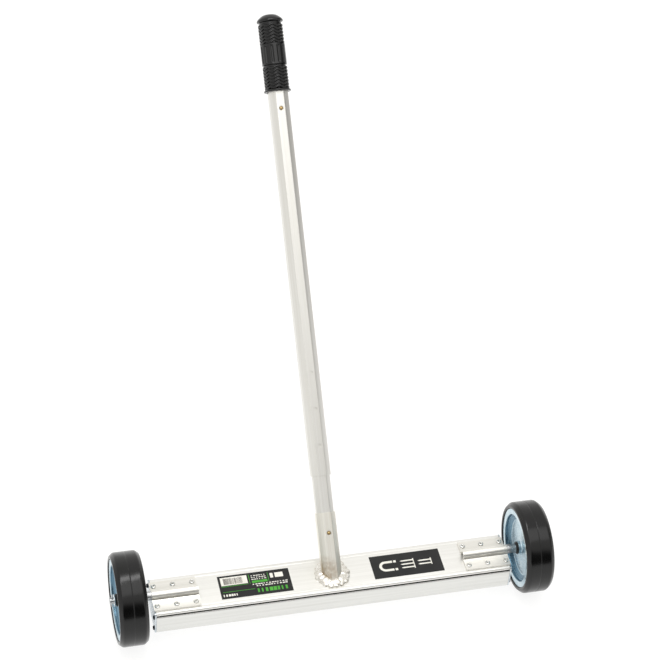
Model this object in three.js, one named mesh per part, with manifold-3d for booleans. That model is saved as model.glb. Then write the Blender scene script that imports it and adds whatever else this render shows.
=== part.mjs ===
// Magnetic nail sweeper: a 24 inch magnet bar on two solid rubber wheels with a telescoping handle.
// Millimetres, +Z up. X runs along the bar, +Y is the side the handle leans to, the wheels stand on z = 0.
// Working pose: the bar is level and the handle is pushed in. The finished group is shifted along Y
// at the end, so its box is centred over the origin.
import * as THREE from "three";
import { mergeVertices } from "three/addons/utils/BufferGeometryUtils.js";
import Module from "manifold-3d";

const wasm = await Module();
wasm.setup();

// ---------- Driving dimensions ----------
const GAP = 0.3; // standing gap between pieces that touch
const RUNNING = 0.09; // radial clearance of a bush on its axle

// Housing
const BAR_LENGTH = 609.6; // over the end plates
const BAR_DEPTH = 79; // front face to rear face
const BAR_HEIGHT = 44.4; // top of the plate to the underside of the channel
const AXLE_FROM_FRONT = 38; // axle line behind the front face
const END_PLATE_THICK = 2.5;
const PLATE_THICK = 3;
const LIP_DROP = 4.3; // how far the plate's edges turn down
const LIP_WIDTH = 3.2;
const LIP_INSET = 0.8; // lip behind the channel's face
const CHANNEL_WALL = 2.4;
const CHANNEL_FLOOR = 1.6;
const SHOULDER_RADIUS = 6; // rounded top edge of the channel
const LEDGE_WIDTH = 13; // turned-in top of the channel
const PORT_RADIUS = 4.2; // screw ports inside the channel
const PORT_BORE = 2;
const PORT_INSET = 5; // port centre from the channel's face
const PORT_TOP_DROP = 11; // upper port centre below the plate's top
const PORT_BOTTOM_RISE = 7.4; // lower port centre above the underside
const END_PLATE_OVERHANG = 1.5; // end plate below the channel
const END_PLATE_CORNER = 3;

// Magnets and backing bar
const MAGNET_COUNT = 6;
const MAGNET_JOINT = 0.5; // between neighbouring magnets
const MAGNET_END_SPACE = 6.5; // from an end plate to the first magnet
const MAGNET_SIDE_SPACE = 5.3; // from the screw ports to the magnets
const MAGNET_HEADROOM = 6.5; // from the backing bar to the channel's ledges
const BACKING_THICK = 5;

// Screws
const SCREW_SHANK = 1.8;
const SCREW_LENGTH = 14;
const SCREW_HEAD = 3.9;
const SCREW_HEAD_HIGH = 2.4;
const SCREW_HOLE = 2.2;
const DRIVE_LENGTH = 4.4;
const DRIVE_WIDTH = 1.1;
const DRIVE_DEPTH = 1.3;

// Axles and their saddles
const AXLE_RADIUS = 5.5;
const AXLE_PAST_TYRE = 7; // outer end of an axle beyond the tyre's face
const SADDLE_LENGTH = 77.8;
const SADDLE_EDGE = 6.7; // from the bar's nearer face to the saddle
const SADDLE_THICK = 2.5;
const SADDLE_SEAT = 0.1; // clearance of the axle under its saddle
const RIVET_FIRST = 6.5; // first rivet from the bar's end
const RIVET_PITCH = 32.3;
const RIVETS_PER_ROW = 3;
const RIVET_EDGE = 9.7; // rivet row from the saddle's edge
const RIVET_SHANK = 2.4;
const RIVET_HOLE = 2.55;
const RIVET_HEAD = 4.5;
const RIVET_HEAD_HIGH = 1.6;
const RIVET_BORE = 1.35;
const RIVET_BLIND = 3.5;
const RIVET_BLIND_HIGH = 3;

// Wheels
const TYRE_RADIUS = 78;
const TYRE_WIDTH = 48;
const TYRE_BEVEL = 5.5;
const WHEEL_GAP = 14.2; // from an end plate to the tyre
const RIM_RADIUS = 67.2; // outer edge of the pressed rim
const RIM_FLANGE = 8.8; // width of the rim's flange outside its drum
const RIM_SHEET = 1.5;
const RIM_RECESS = 1.8; // rim face behind the tyre's face
const RIM_SKIRT = 1; // drum's inner edge from the wheel's middle plane
const WEB_OFFSET = 10.6; // web from the wheel's middle plane
const WEB_RADIUS = 47.4; // flat part of the web
const STEP_RADIUS = 53; // sloping step between the web and the drum
const STEP_HIGH = 3.4;
const HUB_WALL = 1.9; // collar on the web round the bush
const BUSH_RADIUS = 8.6;
const BUSH_HEAD = 10.8;
const BUSH_HEAD_LENGTH = 3.5;
const BUSH_INSET = 2; // bush behind the tyre's faces
const WASHER_RADIUS = 10.2;
const WASHER_THICK = 1.8;
const SPACER_RADIUS = 8;
const COTTER_WIRE = 1.25;
const COTTER_HOLE = 1.75;
const COTTER_EYE = 4;
const COTTER_BEHIND_TIP = 3.6;

// Handle
const HANDLE_LEAN = THREE.MathUtils.degToRad(45); // back from upright
const TUBE_FLATS = 33; // across flats of the socket and the upper tube
const TUBE_WALL = 1.6;
const TUBE_SLIP = 0.35; // between the lower tube and the tubes around it
const SOCKET_TOP = 104; // along the handle from the plate
const SOCKET_BUTTON_DOWN = 34; // socket button below the socket's rim
const LOWER_FOOT = 5.5; // lower tube's end above the plate, at its nearest corner
const LOWER_SHOWS = 62; // lower tube seen between the socket and the upper tube
const UPPER_LENGTH = 753;
const TOP_BUTTON_DOWN = 29.5; // top button below the grip
const LOWER_PAST_BUTTON = 14.5;
const ADJUST_FIRST = 50.3; // first adjusting hole above the upper tube's end
const ADJUST_PITCH = 61.2;
const ADJUST_COUNT = 3;
const BUTTON_RADIUS = 3.1;
const BUTTON_CLEAR = 0.25;
const BUTTON_PROUD = 1.6;
const BUTTON_SHANK = 2;
const SPRING_SHEET = 0.7;
const SPRING_WIDTH = 8;
const SPRING_LEG = 30;
const WELD_SIDE = 12.3; // bead's width beside the socket
const WELD_FRONT = 8.2; // bead's width before and behind the socket
const WELD_BEAD = 6.4;
const WELD_COUNT = 22;

// Grip
const GRIP_LENGTH = 132;
const GRIP_DOME = 13.5; // domed cap above the upper ribs
const GRIP_TUBE_LAP = 104; // length of tube inside the grip
const GRIP_WALL = 1.45;
const GRIP_RIB = 1.3;
const GRIP_FLANGE_OUT = 3.2; // lower flange beyond the grip's root
const GRIP_CAP_OUT = 2.5; // cap beyond the grip's root
const GRIP_BORE_SLIP = 0.3;
const GRIP_BORE_END = 7; // bore above the tube's end
const RIB_PITCH = 5.6;
const RIBS_LOW = 7;
const FLUTES = 12;
const FLUTE_LENGTH = 36;
const FLUTE_RADIUS = 2.1;
const FLUTE_FROM = 45;

// Labels
const LABEL_LENGTH = 121;
const LABEL_WIDTH = 49.4;
const LABEL_THICK = 0.3;
const LABEL_FROM_FRONT = 14.4;
const LABEL_MIDDLE = 130.3; // middle of each label from the middle of the bar

// Sides of the round pieces
const FACETS_TYRE = 44;
const FACETS_RIM = 32;
const FACETS_AXLE = 20;
const FACETS_GRIP = 24;
const FACETS_SMALL = 10;

// ---------- Derived places ----------
const AXLE_HIGH = TYRE_RADIUS;
const PLATE_TOP = AXLE_HIGH - AXLE_RADIUS - GAP;
const BAR_FRONT = -AXLE_FROM_FRONT;
const BAR_REAR = BAR_FRONT + BAR_DEPTH;
const BAR_BOTTOM = PLATE_TOP - BAR_HEIGHT;
const BAR_MIDDLE = (BAR_FRONT + BAR_REAR) / 2;
const HALF_BAR = BAR_LENGTH / 2;
const SECTION_LENGTH = BAR_LENGTH - 2 * (END_PLATE_THICK + GAP);
const PLATE_UNDER = PLATE_TOP - PLATE_THICK;
const LEDGE_TOP = PLATE_UNDER - GAP;
const FLOOR_TOP = BAR_BOTTOM + CHANNEL_FLOOR;
const MAGNET_BOTTOM = FLOOR_TOP + GAP;
const MAGNET_TOP = LEDGE_TOP - CHANNEL_WALL - MAGNET_HEADROOM - BACKING_THICK - GAP;
const MAGNET_WIDTH = BAR_DEPTH - 2 * (PORT_INSET + PORT_RADIUS + MAGNET_SIDE_SPACE);
const MAGNET_SPACING = (SECTION_LENGTH - 2 * MAGNET_END_SPACE) / MAGNET_COUNT;
const MAGNET_LENGTH = MAGNET_SPACING - MAGNET_JOINT;
const SADDLE_UNDER = PLATE_TOP + GAP;
const SADDLE_TOP = SADDLE_UNDER + SADDLE_THICK;
const HUMP_INNER = AXLE_RADIUS + SADDLE_SEAT;
const HUMP_OUTER = HUMP_INNER + SADDLE_THICK - SADDLE_SEAT;
const SADDLE_DEPTH = 2 * (Math.min(AXLE_FROM_FRONT, BAR_DEPTH - AXLE_FROM_FRONT) - SADDLE_EDGE);
const RIVET_ROWS_APART = SADDLE_DEPTH - 2 * RIVET_EDGE;
const TYRE_MIDDLE = HALF_BAR + WHEEL_GAP + TYRE_WIDTH / 2;
const AXLE_TIP = TYRE_MIDDLE + TYRE_WIDTH / 2 + AXLE_PAST_TYRE;
const BUSH_HALF_LENGTH = TYRE_WIDTH / 2 - BUSH_INSET;
const RIM_SEAT = RIM_RADIUS - RIM_FLANGE;
const AXIS_Y = Math.sin(HANDLE_LEAN);
const AXIS_Z = Math.cos(HANDLE_LEAN);
const LOWER_FLATS = TUBE_FLATS - 2 * (TUBE_WALL + TUBE_SLIP);
const LOWER_BOTTOM = LOWER_FOOT + (LOWER_FLATS / 2) * Math.tan(HANDLE_LEAN);
const UPPER_BOTTOM = SOCKET_TOP + LOWER_SHOWS;
const UPPER_TOP = UPPER_BOTTOM + UPPER_LENGTH;
const GRIP_BOTTOM = UPPER_TOP - GRIP_TUBE_LAP;
const SOCKET_BUTTON_AT = SOCKET_TOP - SOCKET_BUTTON_DOWN;
const TOP_BUTTON_AT = GRIP_BOTTOM - TOP_BUTTON_DOWN;
const LOWER_TOP = TOP_BUTTON_AT + LOWER_PAST_BUTTON;
const GRIP_BORE = TUBE_FLATS / 2 / Math.cos(Math.PI / 8) + GRIP_BORE_SLIP;
const GRIP_ROOT = GRIP_BORE + GRIP_WALL;
const GRIP_RADIUS = GRIP_ROOT + GRIP_RIB;
const GRIP_FLANGE = GRIP_ROOT + GRIP_FLANGE_OUT;
const GRIP_CAP = GRIP_ROOT + GRIP_CAP_OUT;
const PORT_LEVELS = [PLATE_TOP - PORT_TOP_DROP, BAR_BOTTOM + PORT_BOTTOM_RISE];
const PORT_SIDES = [BAR_FRONT + PORT_INSET, BAR_REAR - PORT_INSET];
const SIDES = [
  { name: "left", sign: -1 },
  { name: "right", sign: 1 },
];

// ---------- Finishes ----------
const finish = (color, roughness, metalness) => ({ color, roughness, metalness });
const ALUMINIUM = finish(0xd9d7d0, 0.38, 1);
const BRIGHT_ALUMINIUM = finish(0xe4e3dd, 0.32, 1);
const ZINC = finish(0xb4c6d2, 0.35, 1);
const STEEL = finish(0xa9abad, 0.4, 1);
const FERRITE = finish(0x2f2f31, 0.7, 0);
const TYRE_RUBBER = finish(0x1b1b1c, 0.75, 0);
const GRIP_RUBBER = finish(0x131314, 0.5, 0);
const BLACK_PLASTIC = finish(0x1d1d1f, 0.5, 0);
const BRASS = finish(0xc39a4a, 0.3, 1);
const SPRING_STEEL = finish(0x8f9499, 0.35, 1);
const WELD_METAL = finish(0xcfcac0, 0.45, 1);
const LABEL_VINYL = finish(0x151617, 0.45, 0);

const root = new THREE.Group();
root.name = "magnetic_nail_sweeper";

// ---------- Small helpers ----------

// Adds a named sub-part with its own material to the object.
function place(name, geometry, look) {
  const material = new THREE.MeshStandardMaterial({
    color: look.color,
    roughness: look.roughness,
    metalness: look.metalness,
  });
  const mesh = new THREE.Mesh(geometry, material);
  mesh.name = name;
  root.add(mesh);
  return mesh;
}

// A geometry as a manifold solid.
function solid(geometry) {
  const bare = geometry.index ? geometry.toNonIndexed() : geometry.clone();
  bare.deleteAttribute("normal");
  bare.deleteAttribute("uv");
  const merged = mergeVertices(bare, 1e-4);
  return new wasm.Manifold(
    new wasm.Mesh({
      numProp: 3,
      vertProperties: merged.attributes.position.array,
      triVerts: new Uint32Array(merged.index.array),
    }),
  );
}

// A manifold solid as a geometry.
function geometryOf(body) {
  const mesh = body.getMesh();
  const geometry = new THREE.BufferGeometry();
  geometry.setAttribute("position", new THREE.BufferAttribute(mesh.vertProperties, 3));
  geometry.setIndex(new THREE.BufferAttribute(mesh.triVerts, 1));
  const flat = geometry.toNonIndexed();
  flat.computeVertexNormals();
  return flat;
}

// The first geometry with the others cut away.
function cut(geometry, tools) {
  let body = solid(geometry);
  for (const tool of tools) {
    body = body.subtract(solid(tool));
  }
  return geometryOf(body);
}

// The geometries joined into one.
function join(geometries) {
  let body = solid(geometries[0]);
  for (const other of geometries.slice(1)) {
    body = body.add(solid(other));
  }
  return geometryOf(body);
}

// A box from its low corner to its high corner.
function block(low, high) {
  const geometry = new THREE.BoxGeometry(high[0] - low[0], high[1] - low[1], high[2] - low[2]);
  geometry.translate((low[0] + high[0]) / 2, (low[1] + high[1]) / 2, (low[2] + high[2]) / 2);
  return geometry;
}

// A closed outline of [y, z] points extruded along X between two places.
function alongX(outline, from, to, holes = []) {
  const shape = outline instanceof THREE.Shape ? outline : new THREE.Shape(outline.map(toVector));
  for (const hole of holes) {
    shape.holes.push(hole);
  }
  const options = { depth: to - from, bevelEnabled: false, curveSegments: 6 };
  const geometry = new THREE.ExtrudeGeometry(shape, options);
  // The extrusion's own x, y and z become Y, Z and X.
  const turn = new THREE.Matrix4().makeBasis(
    new THREE.Vector3(0, 1, 0),
    new THREE.Vector3(0, 0, 1),
    new THREE.Vector3(1, 0, 0),
  );
  geometry.applyMatrix4(turn);
  geometry.translate(from, 0, 0);
  return geometry;
}

function toVector(point) {
  return new THREE.Vector2(point[0], point[1]);
}

// A profile of [radius, along] points as vectors, turned so that the revolved faces look out.
function outward(profile) {
  const points = profile.map(toVector);
  return THREE.ShapeUtils.area(points) > 0 ? points : points.reverse();
}

// A profile of [radius, along] points revolved about the axle direction at a height.
// The profile closes on itself, or starts and ends on the axis.
function aboutX(profile, segments, y, z) {
  const geometry = new THREE.LatheGeometry(outward(profile), segments);
  geometry.rotateZ(-Math.PI / 2);
  geometry.translate(0, y, z);
  return geometry;
}

// The same, about an upright axis.
function aboutZ(profile, segments, x, y, z) {
  const geometry = new THREE.LatheGeometry(outward(profile), segments);
  geometry.rotateX(Math.PI / 2);
  geometry.translate(x, y, z);
  return geometry;
}

// A profile closed by repeating its first point.
function closed(profile) {
  return [...profile, profile[0]];
}

// Turns a piece made on the bar's right side into its left twin.
function mirrored(geometry) {
  const twin = geometry.index ? geometry.toNonIndexed() : geometry.clone();
  twin.scale(-1, 1, 1);
  const position = twin.attributes.position;
  for (let i = 0; i < position.count; i += 3) {
    for (let axis = 0; axis < 3; axis += 1) {
      const first = position.array[3 * i + axis];
      position.array[3 * i + axis] = position.array[3 * (i + 2) + axis];
      position.array[3 * (i + 2) + axis] = first;
    }
  }
  twin.deleteAttribute("normal");
  twin.computeVertexNormals();
  return twin;
}

// Places a right-hand piece as it is, or as its mirrored twin.
function handed(geometry, sign) {
  return sign > 0 ? geometry : mirrored(geometry);
}

// Stands a piece made along +Z at the handle's line: its x stays, its z runs up the handle
// and its -y faces forwards and up.
function ontoHandle(geometry) {
  geometry.rotateX(-HANDLE_LEAN);
  geometry.translate(0, 0, PLATE_TOP);
  return geometry;
}

// A regular octagon with flats facing the four sides.
function octagon(flats) {
  const corner = flats / 2 / Math.cos(Math.PI / 8);
  const points = [];
  for (let i = 0; i < 8; i += 1) {
    const angle = Math.PI / 8 + (i * Math.PI) / 4;
    points.push([corner * Math.cos(angle), corner * Math.sin(angle)]);
  }
  return points;
}

// A straight octagonal tube along +Z.
function tube(flats, wall, from, to) {
  const shape = new THREE.Shape(octagon(flats).map(toVector));
  shape.holes.push(new THREE.Path(octagon(flats - 2 * wall).map(toVector)));
  const geometry = new THREE.ExtrudeGeometry(shape, { depth: to - from, bevelEnabled: false });
  geometry.translate(0, 0, from);
  return geometry;
}

// A solid octagonal bar along +Z.
function octagonBar(flats, from, to) {
  const shape = new THREE.Shape(octagon(flats).map(toVector));
  const geometry = new THREE.ExtrudeGeometry(shape, { depth: to - from, bevelEnabled: false });
  geometry.translate(0, 0, from);
  return geometry;
}

// A round bar across the front flat of the handle.
function frontHole(radius, along) {
  const geometry = new THREE.CylinderGeometry(radius, radius, TUBE_FLATS, FACETS_AXLE - 4);
  geometry.translate(0, -TUBE_FLATS / 2, along);
  return geometry;
}

// An arc of [x, y] points.
function arc(cx, cy, radius, from, to, steps) {
  const points = [];
  for (let i = 0; i <= steps; i += 1) {
    const angle = from + ((to - from) * i) / steps;
    points.push([cx + radius * Math.cos(angle), cy + radius * Math.sin(angle)]);
  }
  return points;
}

// The places of a saddle's rivets, for the bar's right end.
function rivetPlaces() {
  const places = [];
  for (const row of [-1, 1]) {
    for (let i = 0; i < RIVETS_PER_ROW; i += 1) {
      places.push([HALF_BAR - RIVET_FIRST - i * RIVET_PITCH, (row * RIVET_ROWS_APART) / 2]);
    }
  }
  return places;
}

// Round bars that drill every rivet hole of both ends.
function rivetDrills() {
  const drills = [];
  for (const side of SIDES) {
    for (const [x, y] of rivetPlaces()) {
      const drill = new THREE.CylinderGeometry(RIVET_HOLE, RIVET_HOLE, BAR_HEIGHT, FACETS_SMALL);
      drill.rotateX(Math.PI / 2);
      drill.translate(side.sign * x, y, PLATE_TOP);
      drills.push(drill);
    }
  }
  return drills;
}

// ---------- Housing ----------

// Top plate: an extruded sheet whose rounded front and rear edges turn down as lips.
function topPlate() {
  const front = BAR_FRONT + LIP_INSET;
  const rear = BAR_REAR - LIP_INSET;
  const bend = LIP_WIDTH;
  const outline = [
    [front, PLATE_TOP - LIP_DROP],
    [front + LIP_WIDTH, PLATE_TOP - LIP_DROP],
    [front + LIP_WIDTH + 1, PLATE_UNDER],
    [rear - LIP_WIDTH - 1, PLATE_UNDER],
    [rear - LIP_WIDTH, PLATE_TOP - LIP_DROP],
    [rear, PLATE_TOP - LIP_DROP],
    ...arc(rear - bend, PLATE_TOP - bend, bend, 0, Math.PI / 2, 5),
    ...arc(front + bend, PLATE_TOP - bend, bend, Math.PI / 2, Math.PI, 5),
  ];
  const sheet = alongX(outline, -SECTION_LENGTH / 2, SECTION_LENGTH / 2);
  place("top_plate", cut(sheet, rivetDrills()), ALUMINIUM);
}

// Magnet channel: floor, two sides with rounded shoulders, turned-in ledges and four screw ports.
function magnetChannel() {
  const inner = SHOULDER_RADIUS - CHANNEL_WALL;
  const shoulder = LEDGE_TOP - 1.2;
  const half = [
    ...arc(BAR_FRONT + 1.5, BAR_BOTTOM + 1.5, 1.5, 1.5 * Math.PI, Math.PI, 3),
    ...arc(BAR_FRONT + SHOULDER_RADIUS, shoulder - SHOULDER_RADIUS, SHOULDER_RADIUS, Math.PI, Math.PI / 2, 7),
    [BAR_FRONT + SHOULDER_RADIUS + 1.4, LEDGE_TOP],
    [BAR_FRONT + LEDGE_WIDTH, LEDGE_TOP],
    [BAR_FRONT + LEDGE_WIDTH, LEDGE_TOP - CHANNEL_WALL],
    ...arc(BAR_FRONT + SHOULDER_RADIUS, shoulder - SHOULDER_RADIUS, inner, Math.PI / 2, Math.PI, 5),
    [BAR_FRONT + CHANNEL_WALL, FLOOR_TOP],
  ];
  const flip = ([y, z]) => [2 * BAR_MIDDLE - y, z];
  const outline = [...half, ...half.map(flip).reverse()];
  const section = alongX(outline, -SECTION_LENGTH / 2, SECTION_LENGTH / 2);
  const ports = [];
  const bores = [];
  for (const y of PORT_SIDES) {
    for (const z of PORT_LEVELS) {
      for (const [list, radius, reach] of [
        [ports, PORT_RADIUS, SECTION_LENGTH],
        [bores, PORT_BORE, SECTION_LENGTH + 2 * GAP],
      ]) {
        const rod = new THREE.CylinderGeometry(radius, radius, reach, FACETS_SMALL + 4);
        rod.rotateZ(Math.PI / 2);
        rod.translate(0, y, z);
        list.push(rod);
      }
    }
  }
  const body = join([section, ...ports]);
  place("magnet_channel", cut(body, bores), BRIGHT_ALUMINIUM);
}

// Backing bar and the row of magnets under it.
function magnets() {
  const length = MAGNET_COUNT * MAGNET_SPACING;
  place(
    "backing_bar",
    block(
      [-length / 2, BAR_MIDDLE - MAGNET_WIDTH / 2, MAGNET_TOP + GAP],
      [length / 2, BAR_MIDDLE + MAGNET_WIDTH / 2, MAGNET_TOP + GAP + BACKING_THICK],
    ),
    STEEL,
  );
  for (let i = 0; i < MAGNET_COUNT; i += 1) {
    const x = (i - (MAGNET_COUNT - 1) / 2) * MAGNET_SPACING;
    place(
      "magnet_" + (i + 1),
      block(
        [x - MAGNET_LENGTH / 2, BAR_MIDDLE - MAGNET_WIDTH / 2, MAGNET_BOTTOM],
        [x + MAGNET_LENGTH / 2, BAR_MIDDLE + MAGNET_WIDTH / 2, MAGNET_TOP],
      ),
      FERRITE,
    );
  }
}

// End plate: a sheet steel cap with four screw holes.
function endPlates() {
  const corner = END_PLATE_CORNER;
  const low = BAR_BOTTOM - END_PLATE_OVERHANG;
  const high = PLATE_TOP - 0.1;
  const outline = [
    ...arc(BAR_REAR - corner, high - corner, corner, 0, Math.PI / 2, 4),
    ...arc(BAR_FRONT + corner, high - corner, corner, Math.PI / 2, Math.PI, 4),
    ...arc(BAR_FRONT + corner, low + corner, corner, Math.PI, 1.5 * Math.PI, 4),
    ...arc(BAR_REAR - corner, low + corner, corner, 1.5 * Math.PI, 2 * Math.PI, 4),
  ];
  const holes = [];
  for (const y of PORT_SIDES) {
    for (const z of PORT_LEVELS) {
      holes.push(new THREE.Path(arc(y, z, SCREW_HOLE, 2 * Math.PI, 0, FACETS_SMALL).slice(0, -1).map(toVector)));
    }
  }
  const sheet = alongX(outline, HALF_BAR - END_PLATE_THICK, HALF_BAR, holes);
  for (const side of SIDES) {
    place("end_plate_" + side.name, handed(sheet.clone(), side.sign), ZINC);
  }
}

// End screws: pan heads with a cross drive.
function endScrews() {
  const seat = HALF_BAR + GAP;
  const profile = [
    [0, seat - SCREW_LENGTH],
    [SCREW_SHANK - 0.6, seat - SCREW_LENGTH],
    [SCREW_SHANK, seat - SCREW_LENGTH + 1.5],
    [SCREW_SHANK, seat],
    [SCREW_HEAD, seat],
    [SCREW_HEAD, seat + SCREW_HEAD_HIGH * 0.45],
    [SCREW_HEAD * 0.78, seat + SCREW_HEAD_HIGH * 0.88],
    [0, seat + SCREW_HEAD_HIGH],
  ];
  const top = seat + SCREW_HEAD_HIGH;
  for (const side of SIDES) {
    let number = 1;
    for (const y of PORT_SIDES) {
      for (const z of PORT_LEVELS) {
        const head = aboutX(profile, FACETS_SMALL, y, z);
        const slots = [
          block(
            [top - DRIVE_DEPTH, y - DRIVE_LENGTH / 2, z - DRIVE_WIDTH / 2],
            [top + 1, y + DRIVE_LENGTH / 2, z + DRIVE_WIDTH / 2],
          ),
          block(
            [top - DRIVE_DEPTH, y - DRIVE_WIDTH / 2, z - DRIVE_LENGTH / 2],
            [top + 1, y + DRIVE_WIDTH / 2, z + DRIVE_LENGTH / 2],
          ),
        ];
        place("end_screw_" + side.name + "_" + number, handed(cut(head, slots), side.sign), ZINC);
        number += 1;
      }
    }
  }
}

// ---------- Axles ----------

// Saddle: a plate with a half-round hump over the axle, drilled for its rivets.
function axleSaddles() {
  const level = AXLE_HIGH;
  const half = SADDLE_DEPTH / 2;
  const outline = [
    [half, SADDLE_UNDER],
    [half, SADDLE_TOP - 0.6],
    [half - 0.6, SADDLE_TOP],
    [HUMP_OUTER + 1.2, SADDLE_TOP],
    [HUMP_OUTER, SADDLE_TOP + 1],
    ...arc(0, level, HUMP_OUTER, 0, Math.PI, 10),
    [-HUMP_OUTER, SADDLE_TOP + 1],
    [-HUMP_OUTER - 1.2, SADDLE_TOP],
    [-half + 0.6, SADDLE_TOP],
    [-half, SADDLE_TOP - 0.6],
    [-half, SADDLE_UNDER],
    [-HUMP_INNER, SADDLE_UNDER],
    ...arc(0, level, HUMP_INNER, Math.PI, 0, 10),
    [HUMP_INNER, SADDLE_UNDER],
  ];
  const blank = alongX(outline, HALF_BAR - SADDLE_LENGTH, HALF_BAR);
  const drills = rivetPlaces().map(([x, y]) => {
    const drill = new THREE.CylinderGeometry(RIVET_HOLE, RIVET_HOLE, BAR_HEIGHT, FACETS_SMALL);
    drill.rotateX(Math.PI / 2);
    drill.translate(x, y, PLATE_TOP);
    return drill;
  });
  const saddle = cut(blank, drills);
  for (const side of SIDES) {
    place("axle_saddle_" + side.name, handed(saddle.clone(), side.sign), BRIGHT_ALUMINIUM);
  }
}

// Pop rivets: a domed head with a hollow centre, a shank and the blind head under the plate.
function rivets() {
  const seat = SADDLE_TOP + GAP;
  const under = PLATE_UNDER - GAP;
  const profile = [
    [0, under - RIVET_BLIND_HIGH],
    [RIVET_BLIND * 0.7, under - RIVET_BLIND_HIGH],
    [RIVET_BLIND, under - RIVET_BLIND_HIGH / 2],
    [RIVET_BLIND * 0.9, under],
    [RIVET_SHANK, under],
    [RIVET_SHANK, seat],
    [RIVET_HEAD, seat],
    [RIVET_HEAD * 0.95, seat + RIVET_HEAD_HIGH * 0.4],
    [RIVET_HEAD * 0.6, seat + RIVET_HEAD_HIGH * 0.92],
    [RIVET_BORE, seat + RIVET_HEAD_HIGH],
    [RIVET_BORE, seat - RIVET_HEAD_HIGH],
    [0, seat - RIVET_HEAD_HIGH],
  ];
  for (const side of SIDES) {
    rivetPlaces().forEach(([x, y], i) => {
      const rivet = aboutZ(profile, FACETS_SMALL, x, y, 0);
      place("rivet_" + side.name + "_" + (i + 1), handed(rivet, side.sign), BRIGHT_ALUMINIUM);
    });
  }
}

// Axle: a steel rod from under its saddle to outside the wheel, drilled for the cotter pin.
function axles() {
  const start = HALF_BAR - SADDLE_LENGTH + 3;
  const profile = [
    [0, start],
    [AXLE_RADIUS - 0.8, start],
    [AXLE_RADIUS, start + 0.8],
    [AXLE_RADIUS, AXLE_TIP - 1],
    [AXLE_RADIUS - 1, AXLE_TIP],
    [0, AXLE_TIP],
  ];
  const drill = new THREE.CylinderGeometry(COTTER_HOLE, COTTER_HOLE, 4 * AXLE_RADIUS, FACETS_SMALL);
  drill.rotateX(Math.PI / 2);
  drill.translate(AXLE_TIP - COTTER_BEHIND_TIP, 0, AXLE_HIGH);
  const rod = cut(aboutX(profile, FACETS_AXLE, 0, AXLE_HIGH), [drill]);
  for (const side of SIDES) {
    place("axle_" + side.name, handed(rod.clone(), side.sign), STEEL);
  }
}

// Spacer sleeve between the saddle and the wheel, and the washer outside the wheel.
function axleSpacers() {
  const bore = AXLE_RADIUS + RUNNING;
  const bushInner = TYRE_MIDDLE - BUSH_HALF_LENGTH;
  const bushOuter = TYRE_MIDDLE + BUSH_HALF_LENGTH;
  const sleeve = closed([
    [bore, HALF_BAR + GAP],
    [SPACER_RADIUS - 0.7, HALF_BAR + GAP],
    [SPACER_RADIUS, HALF_BAR + GAP + 0.7],
    [SPACER_RADIUS, bushInner - GAP - 0.7],
    [SPACER_RADIUS - 0.7, bushInner - GAP],
    [bore, bushInner - GAP],
  ]);
  const washer = closed([
    [bore, bushOuter + GAP],
    [WASHER_RADIUS, bushOuter + GAP],
    [WASHER_RADIUS, bushOuter + GAP + WASHER_THICK],
    [bore, bushOuter + GAP + WASHER_THICK],
  ]);
  for (const side of SIDES) {
    place("axle_spacer_" + side.name, handed(aboutX(sleeve, FACETS_AXLE, 0, AXLE_HIGH), side.sign), STEEL);
    place("axle_washer_" + side.name, handed(aboutX(washer, FACETS_AXLE, 0, AXLE_HIGH), side.sign), ZINC);
  }
}

// Cotter pin: a folded wire with an eye above the axle and two bent legs below it.
function cotterPins() {
  const reach = AXLE_RADIUS + 1.4;
  const spread = COTTER_WIRE * 0.42;
  const path = [
    [spread + 3.4, -reach - 4.6],
    [spread + 1.6, -reach - 3.2],
    [spread, -reach],
    [spread, 0],
    [spread, reach],
    [spread + 1.5, reach + COTTER_EYE * 0.45],
    [spread + 1.7, reach + COTTER_EYE],
    [0, reach + COTTER_EYE * 1.6],
    [-spread - 1.7, reach + COTTER_EYE],
    [-spread - 1.5, reach + COTTER_EYE * 0.45],
    [-spread, reach],
    [-spread, 0],
    [-spread, -reach],
    [-spread - 1.6, -reach - 3.2],
    [-spread - 3.4, -reach - 4.6],
  ];
  const section = new THREE.Shape(arc(0, 0, COTTER_WIRE * 0.8, 0, 2 * Math.PI, 6).slice(0, -1).map(toVector));
  // Each leg is drawn on its own and the two are joined where they meet inside the axle's hole.
  const middle = (path.length - 1) / 2;
  const halves = [path.slice(0, middle + 1), path.slice(middle)].map((points) => {
    const line = new THREE.CatmullRomCurve3(points.map(([y, z]) => new THREE.Vector3(0, y, z)));
    return new THREE.ExtrudeGeometry(section, { steps: 14, extrudePath: line, bevelEnabled: false });
  });
  const eyeTop = new THREE.SphereGeometry(COTTER_WIRE * 0.8, 8, 6);
  eyeTop.translate(0, 0, path[middle][1]);
  const pin = join([halves[0], halves[1], eyeTop]);
  pin.translate(AXLE_TIP - COTTER_BEHIND_TIP, 0, AXLE_HIGH);
  for (const side of SIDES) {
    place("cotter_pin_" + side.name, handed(pin.clone(), side.sign), STEEL);
  }
}

// ---------- Wheels ----------

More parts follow.
